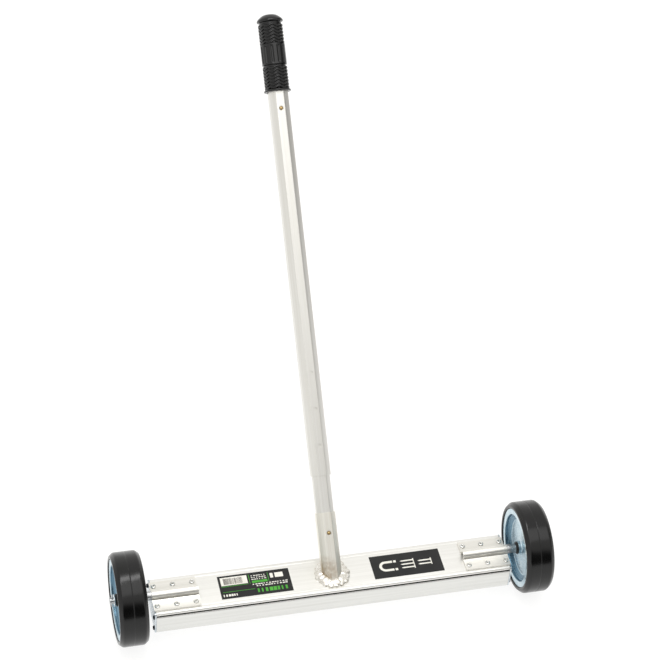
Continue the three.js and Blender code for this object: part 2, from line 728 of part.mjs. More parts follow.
// Solid rubber tyre with bevelled edges and a step in each side for the rim.
function tyre(side) {
  const half = TYRE_WIDTH / 2;
  const flank = RIM_RADIUS + 0.5;
  const seat = RIM_SEAT + GAP;
  const notch = half - RIM_RECESS - RIM_SHEET - GAP;
  const right = [
    [seat, 0],
    [seat, notch],
    [flank, notch],
    [flank, half - 0.8],
    [flank + 1.6, half - 0.8],
    [flank + 2.4, half],
    [TYRE_RADIUS - TYRE_BEVEL, half],
    [TYRE_RADIUS - 1, half - TYRE_BEVEL + 0.6],
    [TYRE_RADIUS, half - TYRE_BEVEL - 1.4],
  ];
  const left = right
    .slice(1)
    .map(([r, x]) => [r, -x])
    .reverse();
  const profile = closed([...right, [TYRE_RADIUS, 0], ...left]);
  const ring = aboutX(profile, FACETS_TYRE, 0, AXLE_HIGH);
  ring.translate(side.sign * TYRE_MIDDLE, 0, 0);
  place("tyre_" + side.name, ring, TYRE_RUBBER);
}

// One pressed half of a rim: flange, drum, sloping step, flat web, and a collar for the bush.
function rimHalf(side, face, label) {
  const half = TYRE_WIDTH / 2;
  const out = half - RIM_RECESS;
  const sheet = RIM_SHEET;
  const bore = BUSH_RADIUS + GAP;
  const web = WEB_OFFSET + sheet;
  const collar = BUSH_HALF_LENGTH - BUSH_HEAD_LENGTH - GAP;
  const profile = closed([
    [bore, WEB_OFFSET],
    [WEB_RADIUS, WEB_OFFSET],
    [STEP_RADIUS, WEB_OFFSET + STEP_HIGH - 0.8],
    [RIM_SEAT - sheet, WEB_OFFSET + STEP_HIGH],
    [RIM_SEAT - sheet, RIM_SKIRT],
    [RIM_SEAT, RIM_SKIRT],
    [RIM_SEAT, out - sheet],
    [RIM_RADIUS, out - sheet],
    [RIM_RADIUS, out],
    [RIM_SEAT + 0.6, out],
    [RIM_SEAT - sheet, out - 2.2],
    [RIM_SEAT - sheet, web + STEP_HIGH + 1],
    [STEP_RADIUS, web + STEP_HIGH],
    [WEB_RADIUS, web],
    [bore + HUB_WALL + 1.6, web],
    [bore + HUB_WALL, web + 1.6],
    [bore + HUB_WALL, collar],
    [bore, collar],
  ]);
  const ring = aboutX(profile, FACETS_RIM, 0, AXLE_HIGH);
  const turned = handed(ring, face);
  turned.translate(side.sign * TYRE_MIDDLE, 0, 0);
  place("rim_" + label + "_" + side.name, turned, ZINC);
}

// Plastic bush that turns on the axle, with a head on each side of the web.
function wheelBush(side) {
  const bore = AXLE_RADIUS + RUNNING;
  const end = BUSH_HALF_LENGTH;
  const neck = end - BUSH_HEAD_LENGTH;
  const profile = closed([
    [bore, -end],
    [BUSH_HEAD - 1, -end],
    [BUSH_HEAD, -end + 1],
    [BUSH_HEAD, -neck],
    [BUSH_RADIUS, -neck],
    [BUSH_RADIUS, neck],
    [BUSH_HEAD, neck],
    [BUSH_HEAD, end - 1],
    [BUSH_HEAD - 1, end],
    [bore, end],
  ]);
  const bush = aboutX(profile, FACETS_AXLE, 0, AXLE_HIGH);
  bush.translate(side.sign * TYRE_MIDDLE, 0, 0);
  place("wheel_bush_" + side.name, bush, BLACK_PLASTIC);
}

function wheels() {
  for (const side of SIDES) {
    tyre(side);
    rimHalf(side, side.sign, "outer");
    rimHalf(side, -side.sign, "inner");
    wheelBush(side);
  }
}

// ---------- Handle ----------

// Everything below the plate's top, used to trim what stands on it.
function belowPlate(clearance) {
  return block([-200, -200, PLATE_TOP - 200], [200, 200, PLATE_TOP + clearance]);
}

// Socket: a short octagonal tube mitred onto the plate, with the lower button's hole.
function handleSocket() {
  const blank = ontoHandle(tube(TUBE_FLATS, TUBE_WALL, -TUBE_FLATS, SOCKET_TOP));
  const hole = ontoHandle(frontHole(BUTTON_RADIUS + BUTTON_CLEAR, SOCKET_BUTTON_AT));
  place("handle_socket", cut(blank, [belowPlate(GAP), hole]), ALUMINIUM);
}

// Weld bead: overlapping rounded drops laid round the mitred foot of the socket.
function weldBead() {
  const drops = [];
  for (let i = 0; i < WELD_COUNT; i += 1) {
    const angle = (i * 2 * Math.PI) / WELD_COUNT;
    const swell = 1 + 0.09 * Math.sin(5 * angle + 0.6) + 0.07 * Math.cos(3 * angle);
    const alongSide = TUBE_FLATS / 2 + WELD_SIDE - WELD_BEAD;
    const across = TUBE_FLATS / 2 / AXIS_Z + WELD_FRONT - WELD_BEAD;
    const drop = new THREE.SphereGeometry(WELD_BEAD * swell, 8, 6);
    drop.rotateZ(angle);
    drop.scale(1, 1, 0.85);
    drop.translate(alongSide * Math.cos(angle), across * Math.sin(angle), PLATE_TOP + 0.8);
    drops.push(drop);
  }
  const core = ontoHandle(octagonBar(TUBE_FLATS + 2 * GAP, -TUBE_FLATS, SOCKET_TOP));
  place("weld_bead", cut(join(drops), [belowPlate(GAP), core]), WELD_METAL);
}

// Lower tube: slides in the socket and in the upper tube, and carries both spring buttons.
function lowerTube() {
  const blank = ontoHandle(tube(LOWER_FLATS, TUBE_WALL, LOWER_BOTTOM, LOWER_TOP));
  const holes = [SOCKET_BUTTON_AT, TOP_BUTTON_AT].map((along) =>
    ontoHandle(frontHole(BUTTON_RADIUS + BUTTON_CLEAR, along)),
  );
  place("lower_tube", cut(blank, holes), ALUMINIUM);
}

// Upper tube: the top button's hole and the adjusting holes near its lower end.
function upperTube() {
  const blank = ontoHandle(tube(TUBE_FLATS, TUBE_WALL, UPPER_BOTTOM, UPPER_TOP));
  const places = [TOP_BUTTON_AT];
  for (let i = 0; i < ADJUST_COUNT; i += 1) {
    places.push(UPPER_BOTTOM + ADJUST_FIRST + i * ADJUST_PITCH);
  }
  const holes = places.map((along) => ontoHandle(frontHole(BUTTON_RADIUS + BUTTON_CLEAR, along)));
  place("upper_tube", cut(blank, holes), ALUMINIUM);
}

// Spring button: a domed brass pin with a shank down to its leaf spring.
function springButtons() {
  const face = TUBE_FLATS / 2;
  const seat = LOWER_FLATS / 2 - TUBE_WALL - 1.2;
  const spring = seat - 1.5;
  const profile = [
    [0, spring + GAP],
    [BUTTON_SHANK, spring + GAP],
    [BUTTON_SHANK, seat - 0.6],
    [BUTTON_RADIUS, seat],
    [BUTTON_RADIUS, face + BUTTON_PROUD * 0.35],
    [BUTTON_RADIUS * 0.8, face + BUTTON_PROUD * 0.8],
    [BUTTON_RADIUS * 0.42, face + BUTTON_PROUD],
    [0, face + BUTTON_PROUD],
  ];
  for (const [name, along] of [
    ["socket_button", SOCKET_BUTTON_AT],
    ["telescope_button", TOP_BUTTON_AT],
  ]) {
    const pin = new THREE.LatheGeometry(outward(profile), FACETS_AXLE - 4);
    pin.rotateX(Math.PI);
    pin.translate(0, 0, along);
    place(name, ontoHandle(pin), BRASS);
    place(name + "_spring", ontoHandle(leafSpring(along, spring)), SPRING_STEEL);
  }
}

// V-shaped leaf spring inside the lower tube: one leg under the button, the other on the far wall.
function leafSpring(along, reach) {
  const back = LOWER_FLATS / 2 - TUBE_WALL - 0.6;
  const half = SPRING_SHEET / 2;
  const bend = along < LOWER_TOP / 2 ? 1 : -1;
  const centre = [
    [-reach + half, along - bend * 5],
    [-reach + half, along + bend * 4],
    [-2.5, along + bend * SPRING_LEG],
    [0, along + bend * (SPRING_LEG + 2)],
    [2.5, along + bend * SPRING_LEG],
    [back - half, along + bend * 2],
    [back - half, along - bend * 5],
  ];
  const left = [];
  const right = [];
  centre.forEach(([y, z], i) => {
    const before = centre[Math.max(i - 1, 0)];
    const after = centre[Math.min(i + 1, centre.length - 1)];
    const run = new THREE.Vector2(after[0] - before[0], after[1] - before[1]).normalize();
    left.push([y - half * run.y, z + half * run.x]);
    right.push([y + half * run.y, z - half * run.x]);
  });
  const outline = bend > 0 ? [...right, ...left.reverse()] : [...left, ...right.reverse()];
  return alongX(outline, -SPRING_WIDTH / 2, SPRING_WIDTH / 2);
}

// Grip: a closed rubber sleeve with ribbed ends, a fluted middle, a domed cap and a lower flange.
function grip() {
  const bore = GRIP_BORE;
  const length = GRIP_LENGTH;
  const boreEnd = GRIP_TUBE_LAP + GRIP_BORE_END;
  const flutesTop = FLUTE_FROM + FLUTE_LENGTH;
  const profile = [
    [bore, 0],
    [GRIP_FLANGE, 0],
    [GRIP_FLANGE + 0.4, 1.6],
    [GRIP_FLANGE, 3.2],
    [GRIP_ROOT, 4.6],
  ];
  const addRibs = (from, count) => {
    for (let i = 0; i < count; i += 1) {
      const z = from + i * RIB_PITCH;
      profile.push([GRIP_ROOT, z], [GRIP_RADIUS, z + RIB_PITCH * 0.5]);
    }
  };
  addRibs(5.2, RIBS_LOW);
  profile.push([GRIP_ROOT, FLUTE_FROM - 0.8], [GRIP_RADIUS, FLUTE_FROM]);
  profile.push([GRIP_RADIUS, flutesTop], [GRIP_ROOT, flutesTop + 0.8]);
  const ribsHigh = Math.floor((length - flutesTop - GRIP_DOME - 1.6) / RIB_PITCH);
  addRibs(flutesTop + 1.2, ribsHigh);
  const rim = length - GRIP_DOME;
  profile.push([GRIP_CAP, rim], [GRIP_CAP + 0.3, rim + 2], [GRIP_CAP - 1, rim + 5]);
  profile.push([GRIP_CAP * 0.72, rim + 10.2], [GRIP_CAP * 0.38, rim + 12.8], [0, length]);
  profile.push([0, boreEnd], [bore, boreEnd]);
  const sleeve = new THREE.LatheGeometry(outward(closed(profile)), FACETS_GRIP);
  sleeve.rotateX(Math.PI / 2);
  sleeve.translate(0, 0, GRIP_BOTTOM);
  const flutes = [];
  for (let i = 0; i < FLUTES; i += 1) {
    const angle = ((i + 0.5) * 2 * Math.PI) / FLUTES;
    const flute = new THREE.CapsuleGeometry(FLUTE_RADIUS, FLUTE_LENGTH - 4 * FLUTE_RADIUS, 2, 8);
    flute.rotateX(Math.PI / 2);
    const out = GRIP_RADIUS + FLUTE_RADIUS * 0.45;
    const level = GRIP_BOTTOM + FLUTE_FROM + FLUTE_LENGTH / 2;
    flute.translate(out * Math.cos(angle), out * Math.sin(angle), level);
    flutes.push(flute);
  }
  place("grip", ontoHandle(cut(sleeve, flutes)), GRIP_RUBBER);
}

// ---------- Labels ----------

function labels() {
  const low = PLATE_TOP + 0.02;
  const front = BAR_FRONT + LABEL_FROM_FRONT;
  for (const [name, middle] of [
    ["label_left", -LABEL_MIDDLE],
    ["label_right", LABEL_MIDDLE],
  ]) {
    const sheet = block(
      [middle - LABEL_LENGTH / 2, front, low],
      [middle + LABEL_LENGTH / 2, front + LABEL_WIDTH, low + LABEL_THICK],
    );
    place(name, sheet, LABEL_VINYL);
  }
}

// ---------- Assembly ----------
topPlate();
magnetChannel();
magnets();
endPlates();
endScrews();
axleSaddles();
rivets();
axles();
axleSpacers();
cotterPins();
wheels();
handleSocket();
weldBead();
lowerTube();
upperTube();
springButtons();
grip();
labels();

// Centre the box of the whole object over the origin along Y.
const box = new THREE.Box3().setFromObject(root);
const shift = (box.min.y + box.max.y) / 2;
root.children.forEach((mesh) => mesh.geometry.translate(0, -shift, 0));

export default root;
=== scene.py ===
# %% [markdown]
# # A magnetic nail sweeper
# The real tool is a magnet bar on two solid rubber wheels, pushed by a telescoping handle.
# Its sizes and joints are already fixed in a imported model. This lesson loads that model as
# a frame that never moves, then gives every visible piece its real shape and finish. Some
# pieces keep their frame mesh and get a material; others are built again with more detail
# and stand in for the frame's plain one.

import math

import bmesh
import bpy
from mathutils import Matrix, Vector


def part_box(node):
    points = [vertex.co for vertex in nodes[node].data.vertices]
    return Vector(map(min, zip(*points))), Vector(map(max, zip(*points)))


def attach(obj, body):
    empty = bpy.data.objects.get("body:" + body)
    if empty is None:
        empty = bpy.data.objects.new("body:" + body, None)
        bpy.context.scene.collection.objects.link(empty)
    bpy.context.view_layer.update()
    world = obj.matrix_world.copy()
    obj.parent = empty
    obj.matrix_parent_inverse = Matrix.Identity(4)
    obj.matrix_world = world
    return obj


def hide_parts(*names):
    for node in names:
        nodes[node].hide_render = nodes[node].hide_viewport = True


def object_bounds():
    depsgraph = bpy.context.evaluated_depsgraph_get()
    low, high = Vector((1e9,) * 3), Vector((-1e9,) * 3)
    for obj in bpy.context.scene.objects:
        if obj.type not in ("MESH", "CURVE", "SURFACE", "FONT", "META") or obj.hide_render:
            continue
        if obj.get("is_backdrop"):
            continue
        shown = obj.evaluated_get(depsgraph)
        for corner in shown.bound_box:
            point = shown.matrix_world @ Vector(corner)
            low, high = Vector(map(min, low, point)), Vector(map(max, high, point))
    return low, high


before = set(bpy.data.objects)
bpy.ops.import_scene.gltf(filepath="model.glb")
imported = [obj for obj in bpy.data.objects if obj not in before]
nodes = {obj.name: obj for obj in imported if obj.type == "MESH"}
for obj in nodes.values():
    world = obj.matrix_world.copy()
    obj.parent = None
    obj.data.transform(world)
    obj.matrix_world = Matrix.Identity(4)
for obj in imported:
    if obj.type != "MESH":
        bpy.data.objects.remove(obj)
cad_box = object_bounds()
MM = 0.001
print("frame box in mm:", [round(value / MM, 1) for corner in cad_box for value in corner])

# %% [markdown]
# ## Places
# Every place comes from the frame, so that nothing has to be fitted. The axle line is the
# middle of a tyre's box. The handle leans back from its foot on the plate, and a matrix
# turns a piece drawn upright about its own z axis onto that line.

# %% Read the main places
plate_low, plate_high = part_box("top_plate")
tyre_low, tyre_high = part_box("tyre_left")
AXLE = (tyre_low + tyre_high) / 2
AXLE.x = 0
PLATE_TOP = plate_high.z
HALF_BAR = -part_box("end_plate_left")[0].x
TYRE_MIDDLE = -(tyre_low.x + tyre_high.x) / 2
HANDLE_LEAN = math.radians(45)
FOOT = Vector((0, AXLE.y, PLATE_TOP))
ON_HANDLE = Matrix.Translation(FOOT) @ Matrix.Rotation(-HANDLE_LEAN, 4, "X")
print("axle line y, z in mm:", round(AXLE.y / MM, 2), round(AXLE.z / MM, 2))
print("plate top in mm:", round(PLATE_TOP / MM, 2))

# %% [markdown]
# ## One helper for every node
# Shader and geometry trees are both made of nodes, so one function adds a node of any kind.
# Settings are the node's own properties. An input is a value, another node's output, or the
# other node itself, which stands for its first output.

# %% Node and colour helpers
def add_node(tree, kind, inputs=None, **settings):
    """Adds one node to a tree with its settings and its inputs."""
    made = tree.nodes.new(kind)
    for name, value in settings.items():
        setattr(made, name, value)
    for key, value in (inputs or {}).items():
        if isinstance(value, bpy.types.Node):
            value = value.outputs[0]
        if isinstance(value, bpy.types.NodeSocket):
            tree.links.new(value, made.inputs[key])
        else:
            made.inputs[key].default_value = value
    return made


def srgb(text):
    """A colour written as an sRGB hex value, as the linear colour a shader takes."""
    parts = [int(text[i : i + 2], 16) / 255 for i in (0, 2, 4)]
    linear = [p / 12.92 if p <= 0.04045 else ((p + 0.055) / 1.055) ** 2.4 for p in parts]
    return (*linear, 1.0)


def new_material(name, constants):
    """An empty Principled material with the constants set on its own sockets."""
    made = bpy.data.materials.new(name)
    made.use_nodes = True
    shader = made.node_tree.nodes["Principled BSDF"]
    for socket, value in constants.items():
        shader.inputs[socket].default_value = value
    return made, made.node_tree, shader


print("white in linear light:", srgb("ffffff"))

# %% [markdown]
# ## Patterns with real sizes
# A surface pattern is noise in a small frame of its own. The Mapping node in its Texture
# mode divides by a size, so its scale is the size of one grain in metres, and it can turn
# to lie along a leaning piece. Object coordinates are metres, since every finished piece
# sits unturned at the origin.

# %% Pattern helpers
RANGE = ("From Min", "From Max", "To Min", "To Max")
ALONG_BAR = (0.0, 0.0, 0.0)
ALONG_HANDLE = (-HANDLE_LEAN, 0.0, 0.0)


def grain(tree, size_mm, turn=ALONG_BAR, detail=3.0, shift=0.0):
    """Noise whose grain has the given size along x, y and z of a turned frame."""
    place = add_node(tree, "ShaderNodeTexCoord")
    fitting = {"Location": (shift * MM,) * 3, "Rotation": turn, "Scale": [size * MM for size in size_mm]}
    fit = add_node(
        tree, "ShaderNodeMapping", {"Vector": place.outputs["Object"], **fitting}, vector_type="TEXTURE"
    )
    return add_node(tree, "ShaderNodeTexNoise", {"Vector": fit, "Scale": 1.0, "Detail": detail})


def dress(tree, shader, tone, span, colours, fine, rough, relief_mm, strength):
    """Gives a shader two blended colours, a drifting gloss and a fine relief."""
    share = add_node(tree, "ShaderNodeMapRange", {"Value": tone, **dict(zip(RANGE, span))})
    first, second = (srgb(colour) for colour in colours)
    blend = add_node(tree, "ShaderNodeMix", {0: share, 6: first, 7: second}, data_type="RGBA")
    tree.links.new(blend.outputs[2], shader.inputs["Base Color"])
    gloss = add_node(tree, "ShaderNodeMapRange", {"Value": fine, **dict(zip(RANGE, (0.3, 0.7, *rough)))})
    tree.links.new(gloss.outputs["Result"], shader.inputs["Roughness"])
    relief = add_node(
        tree, "ShaderNodeBump", {"Height": fine, "Distance": relief_mm * MM, "Strength": strength}
    )
    tree.links.new(relief.outputs["Normal"], shader.inputs["Normal"])


def stained(made, share, colour):
    """Lays a second colour over a finished material where share is high."""
    tree = made.node_tree
    own = tree.nodes["Principled BSDF"].inputs["Base Color"]
    over = add_node(
        tree, "ShaderNodeMix", {0: share, 6: own.links[0].from_socket, 7: srgb(colour)}, data_type="RGBA"
    )
    tree.links.new(over.outputs[2], own)
    return made


print("patterns take their grain in millimetres")

# %% [markdown]
# ## Mill-finish aluminium
# The housing and the tubes are extruded aluminium, left as they leave the die: a pale warm
# silver with fine drag lines along the length. A real drag line is about a tenth of a
# millimetre wide, which no picture of the whole tool can show, so the lines are drawn
# about one millimetre wide. Broad faint bands come from the die's own wear.

# %% Extruded aluminium
def extruded_aluminium(name, colours, along, turn, rough):
    """Aluminium with drag lines; along is the length of a line on each axis."""
    made, tree, shader = new_material(name, {"Metallic": 1.0})
    bands = grain(tree, [max(7.0, size) for size in along], turn, shift=31.0)
    lines = grain(tree, along, turn, detail=5.0)
    both = add_node(tree, "ShaderNodeMath", {0: bands, 1: lines}, operation="ADD")
    dress(tree, shader, both.outputs["Value"], (0.7, 1.3), colours, lines, rough, 0.01, 0.2)
    return made


BAR_LINES = (220.0, 1.1, 1.1)
TUBE_LINES = (1.1, 1.1, 260.0)
plate_finish = extruded_aluminium(
    "mill_finish_aluminium_plate", ("e9e8e3", "f4f3ef"), BAR_LINES, ALONG_BAR, (0.36, 0.46)
)
channel_finish = extruded_aluminium(
    "mill_finish_aluminium_channel", ("d9d9d5", "e6e6e3"), BAR_LINES, ALONG_BAR, (0.3, 0.42)
)
saddle_finish = extruded_aluminium(
    "bright_aluminium_saddle", ("e8e6de", "f3f1eb"), BAR_LINES, ALONG_BAR, (0.32, 0.42)
)
tube_finish = extruded_aluminium(
    "mill_finish_aluminium_tube", ("dedcd5", "e9e8e4"), TUBE_LINES, ALONG_HANDLE, (0.34, 0.44)
)
print("four aluminium finishes")

# %% [markdown]
# ## The socket's heat stain
# Welding burns a brown haze into the foot of the socket. The stain is strongest low on its
# left side and breaks up into clouds further off, so its strength falls with the distance
# from one spot, broken by noise, and it only tints the metal's own colour.

# %% Stained aluminium for the welded socket
STAIN_SPOT = FOOT + Vector((-17, -7, 10)) * MM
STAIN_CORE = 5.0
STAIN_REACH = 34.0


def stained_socket():
    """The tube's aluminium with a brown heat haze at its foot."""
    made = extruded_aluminium(
        "welded_aluminium_socket", ("e6e2d6", "f3f1e9"), TUBE_LINES, ALONG_HANDLE, (0.34, 0.46)
    )
    tree = made.node_tree
    place = add_node(tree, "ShaderNodeTexCoord")
    away = add_node(
        tree, "ShaderNodeVectorMath", {0: place.outputs["Object"], 1: STAIN_SPOT}, operation="DISTANCE"
    )
    fall = dict(zip(RANGE, (STAIN_CORE * MM, STAIN_REACH * MM, 1.0, 0.0)))
    near = add_node(tree, "ShaderNodeMapRange", {"Value": away.outputs["Value"], **fall})
    puffs = grain(tree, (7.0, 7.0, 7.0), detail=4.0)
    cloud = add_node(tree, "ShaderNodeMapRange", {"Value": puffs, **dict(zip(RANGE, (0.35, 0.7, 0.3, 1.0)))})
    haze = add_node(tree, "ShaderNodeMath", {0: near, 1: cloud}, operation="MULTIPLY")
    return stained(made, haze.outputs["Value"], "94702c")


socket_finish = stained_socket()
print("socket stain reaches", STAIN_REACH, "mm from its spot")

# %% [markdown]
# ## The other metals
# The weld bead is aluminium that froze from a liquid: very bright, smooth and lumpy. The
# rims, end plates, screws and washers are steel with a blue zinc plating, which shows
# soft cloudy patches. The axles are plain bright steel, and the spring buttons are brass.

# %% Cloudy metals
def cloudy_metal(name, colours, cloud_mm, rough, relief_mm=0.01):
    """A metal whose tone and gloss drift in soft patches."""
    made, tree, shader = new_material(name, {"Metallic": 1.0})
    clouds = grain(tree, (cloud_mm,) * 3, detail=3.0)
    fine = grain(tree, (cloud_mm / 8,) * 3, detail=4.0, shift=17.0)
    dress(tree, shader, clouds, (0.35, 0.65), colours, fine, rough, relief_mm, 0.4)
    return made


# Radii in mm where the painted shade in the rims' stepped drum fades in and out.
DRUM_SHADE_EDGES = ((47.6, 49.0, 0.0, 0.88), (57.0, 58.2, 1.0, 0.0))


def shaded_rim():
    """Blue zinc with painted shade that darkens the stepped drum, the recess where shade falls."""
    made = cloudy_metal("blue_zinc_rim_with_painted_drum_shade", ("b7cdd7", "d3e2e8"), 26.0, (0.24, 0.36), 0.004)
    tree = made.node_tree
    place = add_node(tree, "ShaderNodeTexCoord")
    side = add_node(
        tree, "ShaderNodeVectorMath", {0: place.outputs["Object"], 1: (0, 1, 1)}, operation="MULTIPLY"
    )
    away = add_node(tree, "ShaderNodeVectorMath", {0: side, 1: AXLE}, operation="DISTANCE")
    drum = add_node(tree, "ShaderNodeMath", operation="MULTIPLY")
    for i, (start, end, before, after) in enumerate(DRUM_SHADE_EDGES):
        step = dict(zip(RANGE, (start * MM, end * MM, before, after)))
        edge = add_node(tree, "ShaderNodeMapRange", {"Value": away.outputs["Value"], **step})
        tree.links.new(edge.outputs["Result"], drum.inputs[i])
    # The darker blue laid over the drum is painted shade.
    return stained(made, drum.outputs["Value"], "587c91")


weld_finish = cloudy_metal("frozen_aluminium_weld", ("d8d3c8", "f6f4ee"), 3.0, (0.2, 0.36), 0.06)
rivet_finish = cloudy_metal("bright_aluminium_rivet", ("cfcfca", "e9e9e6"), 6.0, (0.2, 0.34))
zinc_finish = shaded_rim()
plain_zinc_finish = cloudy_metal("clear_zinc_plated_steel", ("b9c2c8", "dde3e6"), 12.0, (0.18, 0.32))
steel_finish = cloudy_metal("bright_drawn_steel", ("a9abad", "d3d4d4"), 9.0, (0.2, 0.36))
spring_finish = cloudy_metal("tempered_spring_steel", ("6f757b", "9aa0a6"), 7.0, (0.25, 0.4))
# The mandrel ends are real, but coloured near-black as painted shade in the rivets' hollows.
mandrel_and_hollow_shade_finish = cloudy_metal("mandrel_with_painted_hollow_shade", ("1d1c1b", "4a4846"), 2.0, (0.35, 0.6))
# Painted shade: a near-black finish for the strips in the gaps under the plate's lips.
painted_joint_shade_finish = cloudy_metal("painted_shade_in_a_joint_gap", ("17130f", "2b2620"), 5.0, (0.6, 0.8))
screw_finish = cloudy_metal("black_oxide_screw", ("26282b", "4a4c50"), 3.0, (0.3, 0.45))
brass_finish = cloudy_metal("turned_brass", ("94774a", "d2b987"), 2.0, (0.2, 0.34))
print("cloudy metals:", zinc_finish.name, steel_finish.name, brass_finish.name)

# %% [markdown]
# ## Rubber, plastic, ferrite and vinyl
# The tyres are moulded black rubber with a dull waxy skin; the grip is softer and glossier.
# The hub bush is black nylon. The magnets are sintered ferrite, and the labels are printed
# vinyl. None of these is metal: their gloss is a weak clear reflection, so roughness and
# fine relief do the work, and a little dust lifts the black.

# %% Moulded finishes
def moulded(name, colours, grit_mm, rough, relief_mm, specular=0.4):
    """A non-metal with a fine skin and faint dusty patches of the second colour."""
    made, tree, shader = new_material(name, {"Metallic": 0.0, "Specular IOR Level": specular})
    patches = grain(tree, (18.0, 18.0, 18.0), detail=4.0)
    skin = grain(tree, (grit_mm,) * 3, detail=3.0, shift=9.0)
    dress(tree, shader, patches, (0.4, 0.72), colours, skin, rough, relief_mm, 0.4)
    return made


tyre_finish = moulded("moulded_black_rubber", ("040404", "0a0a0a"), 1.4, (0.16, 0.24), 0.006, 0.42)
grip_finish = moulded("soft_black_pvc", ("020202", "050505"), 1.2, (0.12, 0.2), 0.004, 0.5)
nylon_finish = moulded("black_nylon", ("0c0c0d", "1b1b1d"), 1.0, (0.35, 0.5), 0.02)
ferrite_finish = moulded("sintered_ferrite", ("2a2a2c", "3c3b3a"), 0.8, (0.6, 0.8), 0.04)
vinyl_finish = moulded("printed_black_vinyl", ("0f1010", "1a1a1a"), 2.0, (0.3, 0.42), 0.01)
white_ink_finish = moulded("white_print_ink", ("e9e7dd", "f6f5ee"), 2.0, (0.4, 0.5), 0.01)
green_ink_finish = moulded("green_print_ink", ("3f9a2c", "54b53c"), 2.0, (0.4, 0.5), 0.01)
dark_ink_finish = moulded("dark_print_ink", ("3a3230", "5a4c46"), 2.0, (0.4, 0.5), 0.01)
print("moulded finishes:", tyre_finish.name, grip_finish.name, vinyl_finish.name)

# %% [markdown]
# ## Mesh helpers
# Turned pieces such as wheels and buttons are an outline spun about an axis; extruded
# pieces are an outline pushed along an axis. Both start from an outline whose corners are
# rounded first, because a real edge always catches a thin line of light. A corner is given
# as two coordinates and the size of its rounding.

# %% Outlines and solids from them
CORNER_STEPS = 4


def rounded(corners, closed=True):
    """An outline of (a, b, rounding) corners in mm, with each corner rounded off."""
    points = []
    count = len(corners)
    for i, (a, b, size) in enumerate(corners):
        here = Vector((a, b))
        if size == 0 or (not closed and i in (0, count - 1)):
            points.append(here)
            continue
        before = Vector(corners[i - 1][:2]) - here
        after = Vector(corners[(i + 1) % count][:2]) - here
        reach = min(size, before.length * 0.49, after.length * 0.49)
        start = here + before.normalized() * reach
        end = here + after.normalized() * reach
        for step in range(CORNER_STEPS + 1):
            t = step / CORNER_STEPS
            points.append((1 - t) ** 2 * start + 2 * t * (1 - t) * here + t**2 * end)
    return points


def mesh_of(name, points_mm, faces, place=Matrix.Identity(4), smooth_angle=32.0):
    """A mesh from points in mm, put in its place, with outward faces and smooth rounds."""
    mesh = bpy.data.meshes.new(name)
    mesh.from_pydata([place @ (Vector(p) * MM) for p in points_mm], [], faces)
    return smoothed(mesh, smooth_angle)


def smoothed(mesh, smooth_angle=32.0):
    """Turns the faces outwards and shades them smooth up to an angle."""
    build = bmesh.new()
    build.from_mesh(mesh)
    bmesh.ops.remove_doubles(build, verts=build.verts, dist=0.002 * MM)
    bmesh.ops.recalc_face_normals(build, faces=build.faces)
    build.to_mesh(mesh)
    build.free()
    mesh.shade_smooth()
    mesh.set_sharp_from_angle(angle=math.radians(smooth_angle))
    return mesh


def spun(name, outline, sides, place, smooth_angle=32.0, press=None):
    """An outline of (radius, along) spun about z. It is closed, or ends on the axis."""
    points, rings = [], []
    for radius, along in outline:
        if radius < 1e-6:
            rings.append([len(points)])
            points.append((0.0, 0.0, along))
            continue
        rings.append(list(range(len(points), len(points) + sides)))
        for i in range(sides):
            turn = 2 * math.pi * i / sides
            reach = radius - press(radius, turn, along) if press else radius
            points.append((reach * math.cos(turn), reach * math.sin(turn), along))
    faces = []
    on_axis = len(rings[0]) == 1
    for lower, upper in zip(rings, rings[1:] if on_axis else rings[1:] + rings[:1]):
        for i in range(sides):
            j = (i + 1) % sides
            quad = [ring[k % len(ring)] for ring, k in ((lower, i), (lower, j), (upper, j), (upper, i))]
            faces.append(list(dict.fromkeys(quad)))
    return mesh_of(name, points, faces, place, smooth_angle)


def bar_outline(radius, start, end):
    """A plain round bar, as an outline that starts and ends on the axis."""
    return [Vector((0, start)), Vector((radius, start)), Vector((radius, end)), Vector((0, end))]


def pushed(name, outline, start, end, place):
    """An outline of (a, b) pushed along the third axis from start to end."""
    count = len(outline)
    points = [(a, b, start) for a, b in outline] + [(a, b, end) for a, b in outline]
    faces = [[i, (i + 1) % count, count + (i + 1) % count, count + i] for i in range(count)]
    faces += [list(range(count))[::-1], list(range(count, 2 * count))]
    return mesh_of(name, points, faces, place)


# Turns an outline of (y, z) so that it is pushed along x, and a spun piece onto the axle.
ALONG_X = Matrix(((0, 0, 1, 0), (1, 0, 0, 0), (0, 1, 0, 0), (0, 0, 0, 1)))


def on_axle(x, outwards=1):
    """Puts a piece spun about z on the axle line at x, its own z towards +x or -x."""
    turn = ALONG_X if outwards > 0 else ALONG_X @ Matrix.Rotation(math.pi, 4, "X")
    return Matrix.Translation((x, AXLE.y, AXLE.z)) @ turn


print("an outline corner is rounded in", CORNER_STEPS, "steps")

# %% [markdown]
# ## Adding a finished piece
# Each new piece rides on the body that carries it in the frame, gets its material, and
# hides the frame pieces it stands for.

# %% Piece helpers
def add_piece(name, mesh, finish, body, stands_for):
    """Adds a finished mesh as a piece of the object."""
    piece = bpy.data.objects.new(name, mesh)
    bpy.context.scene.collection.objects.link(piece)
    mesh.materials.clear()
    mesh.materials.append(finish)
    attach(piece, body)
    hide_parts(*stands_for)
    return piece


def stand_in(node, mesh, finish, body):
    """Adds the piece that is seen in place of one frame piece."""
    return add_piece("visual_" + node, mesh, finish, body, [node])


def plain_mesh(passing):
    """The mesh that an object evaluates to; the object itself is removed."""
    bpy.context.scene.collection.objects.link(passing)
    graph = bpy.context.evaluated_depsgraph_get()
    made = bpy.data.meshes.new_from_object(passing.evaluated_get(graph), depsgraph=graph)
    bpy.data.objects.remove(passing)
    return made


def with_modifiers(mesh, setup):
    """The mesh after the modifiers that setup adds to a passing object."""
    passing = bpy.data.objects.new("passing", mesh)
    setup(passing)
    return plain_mesh(passing)


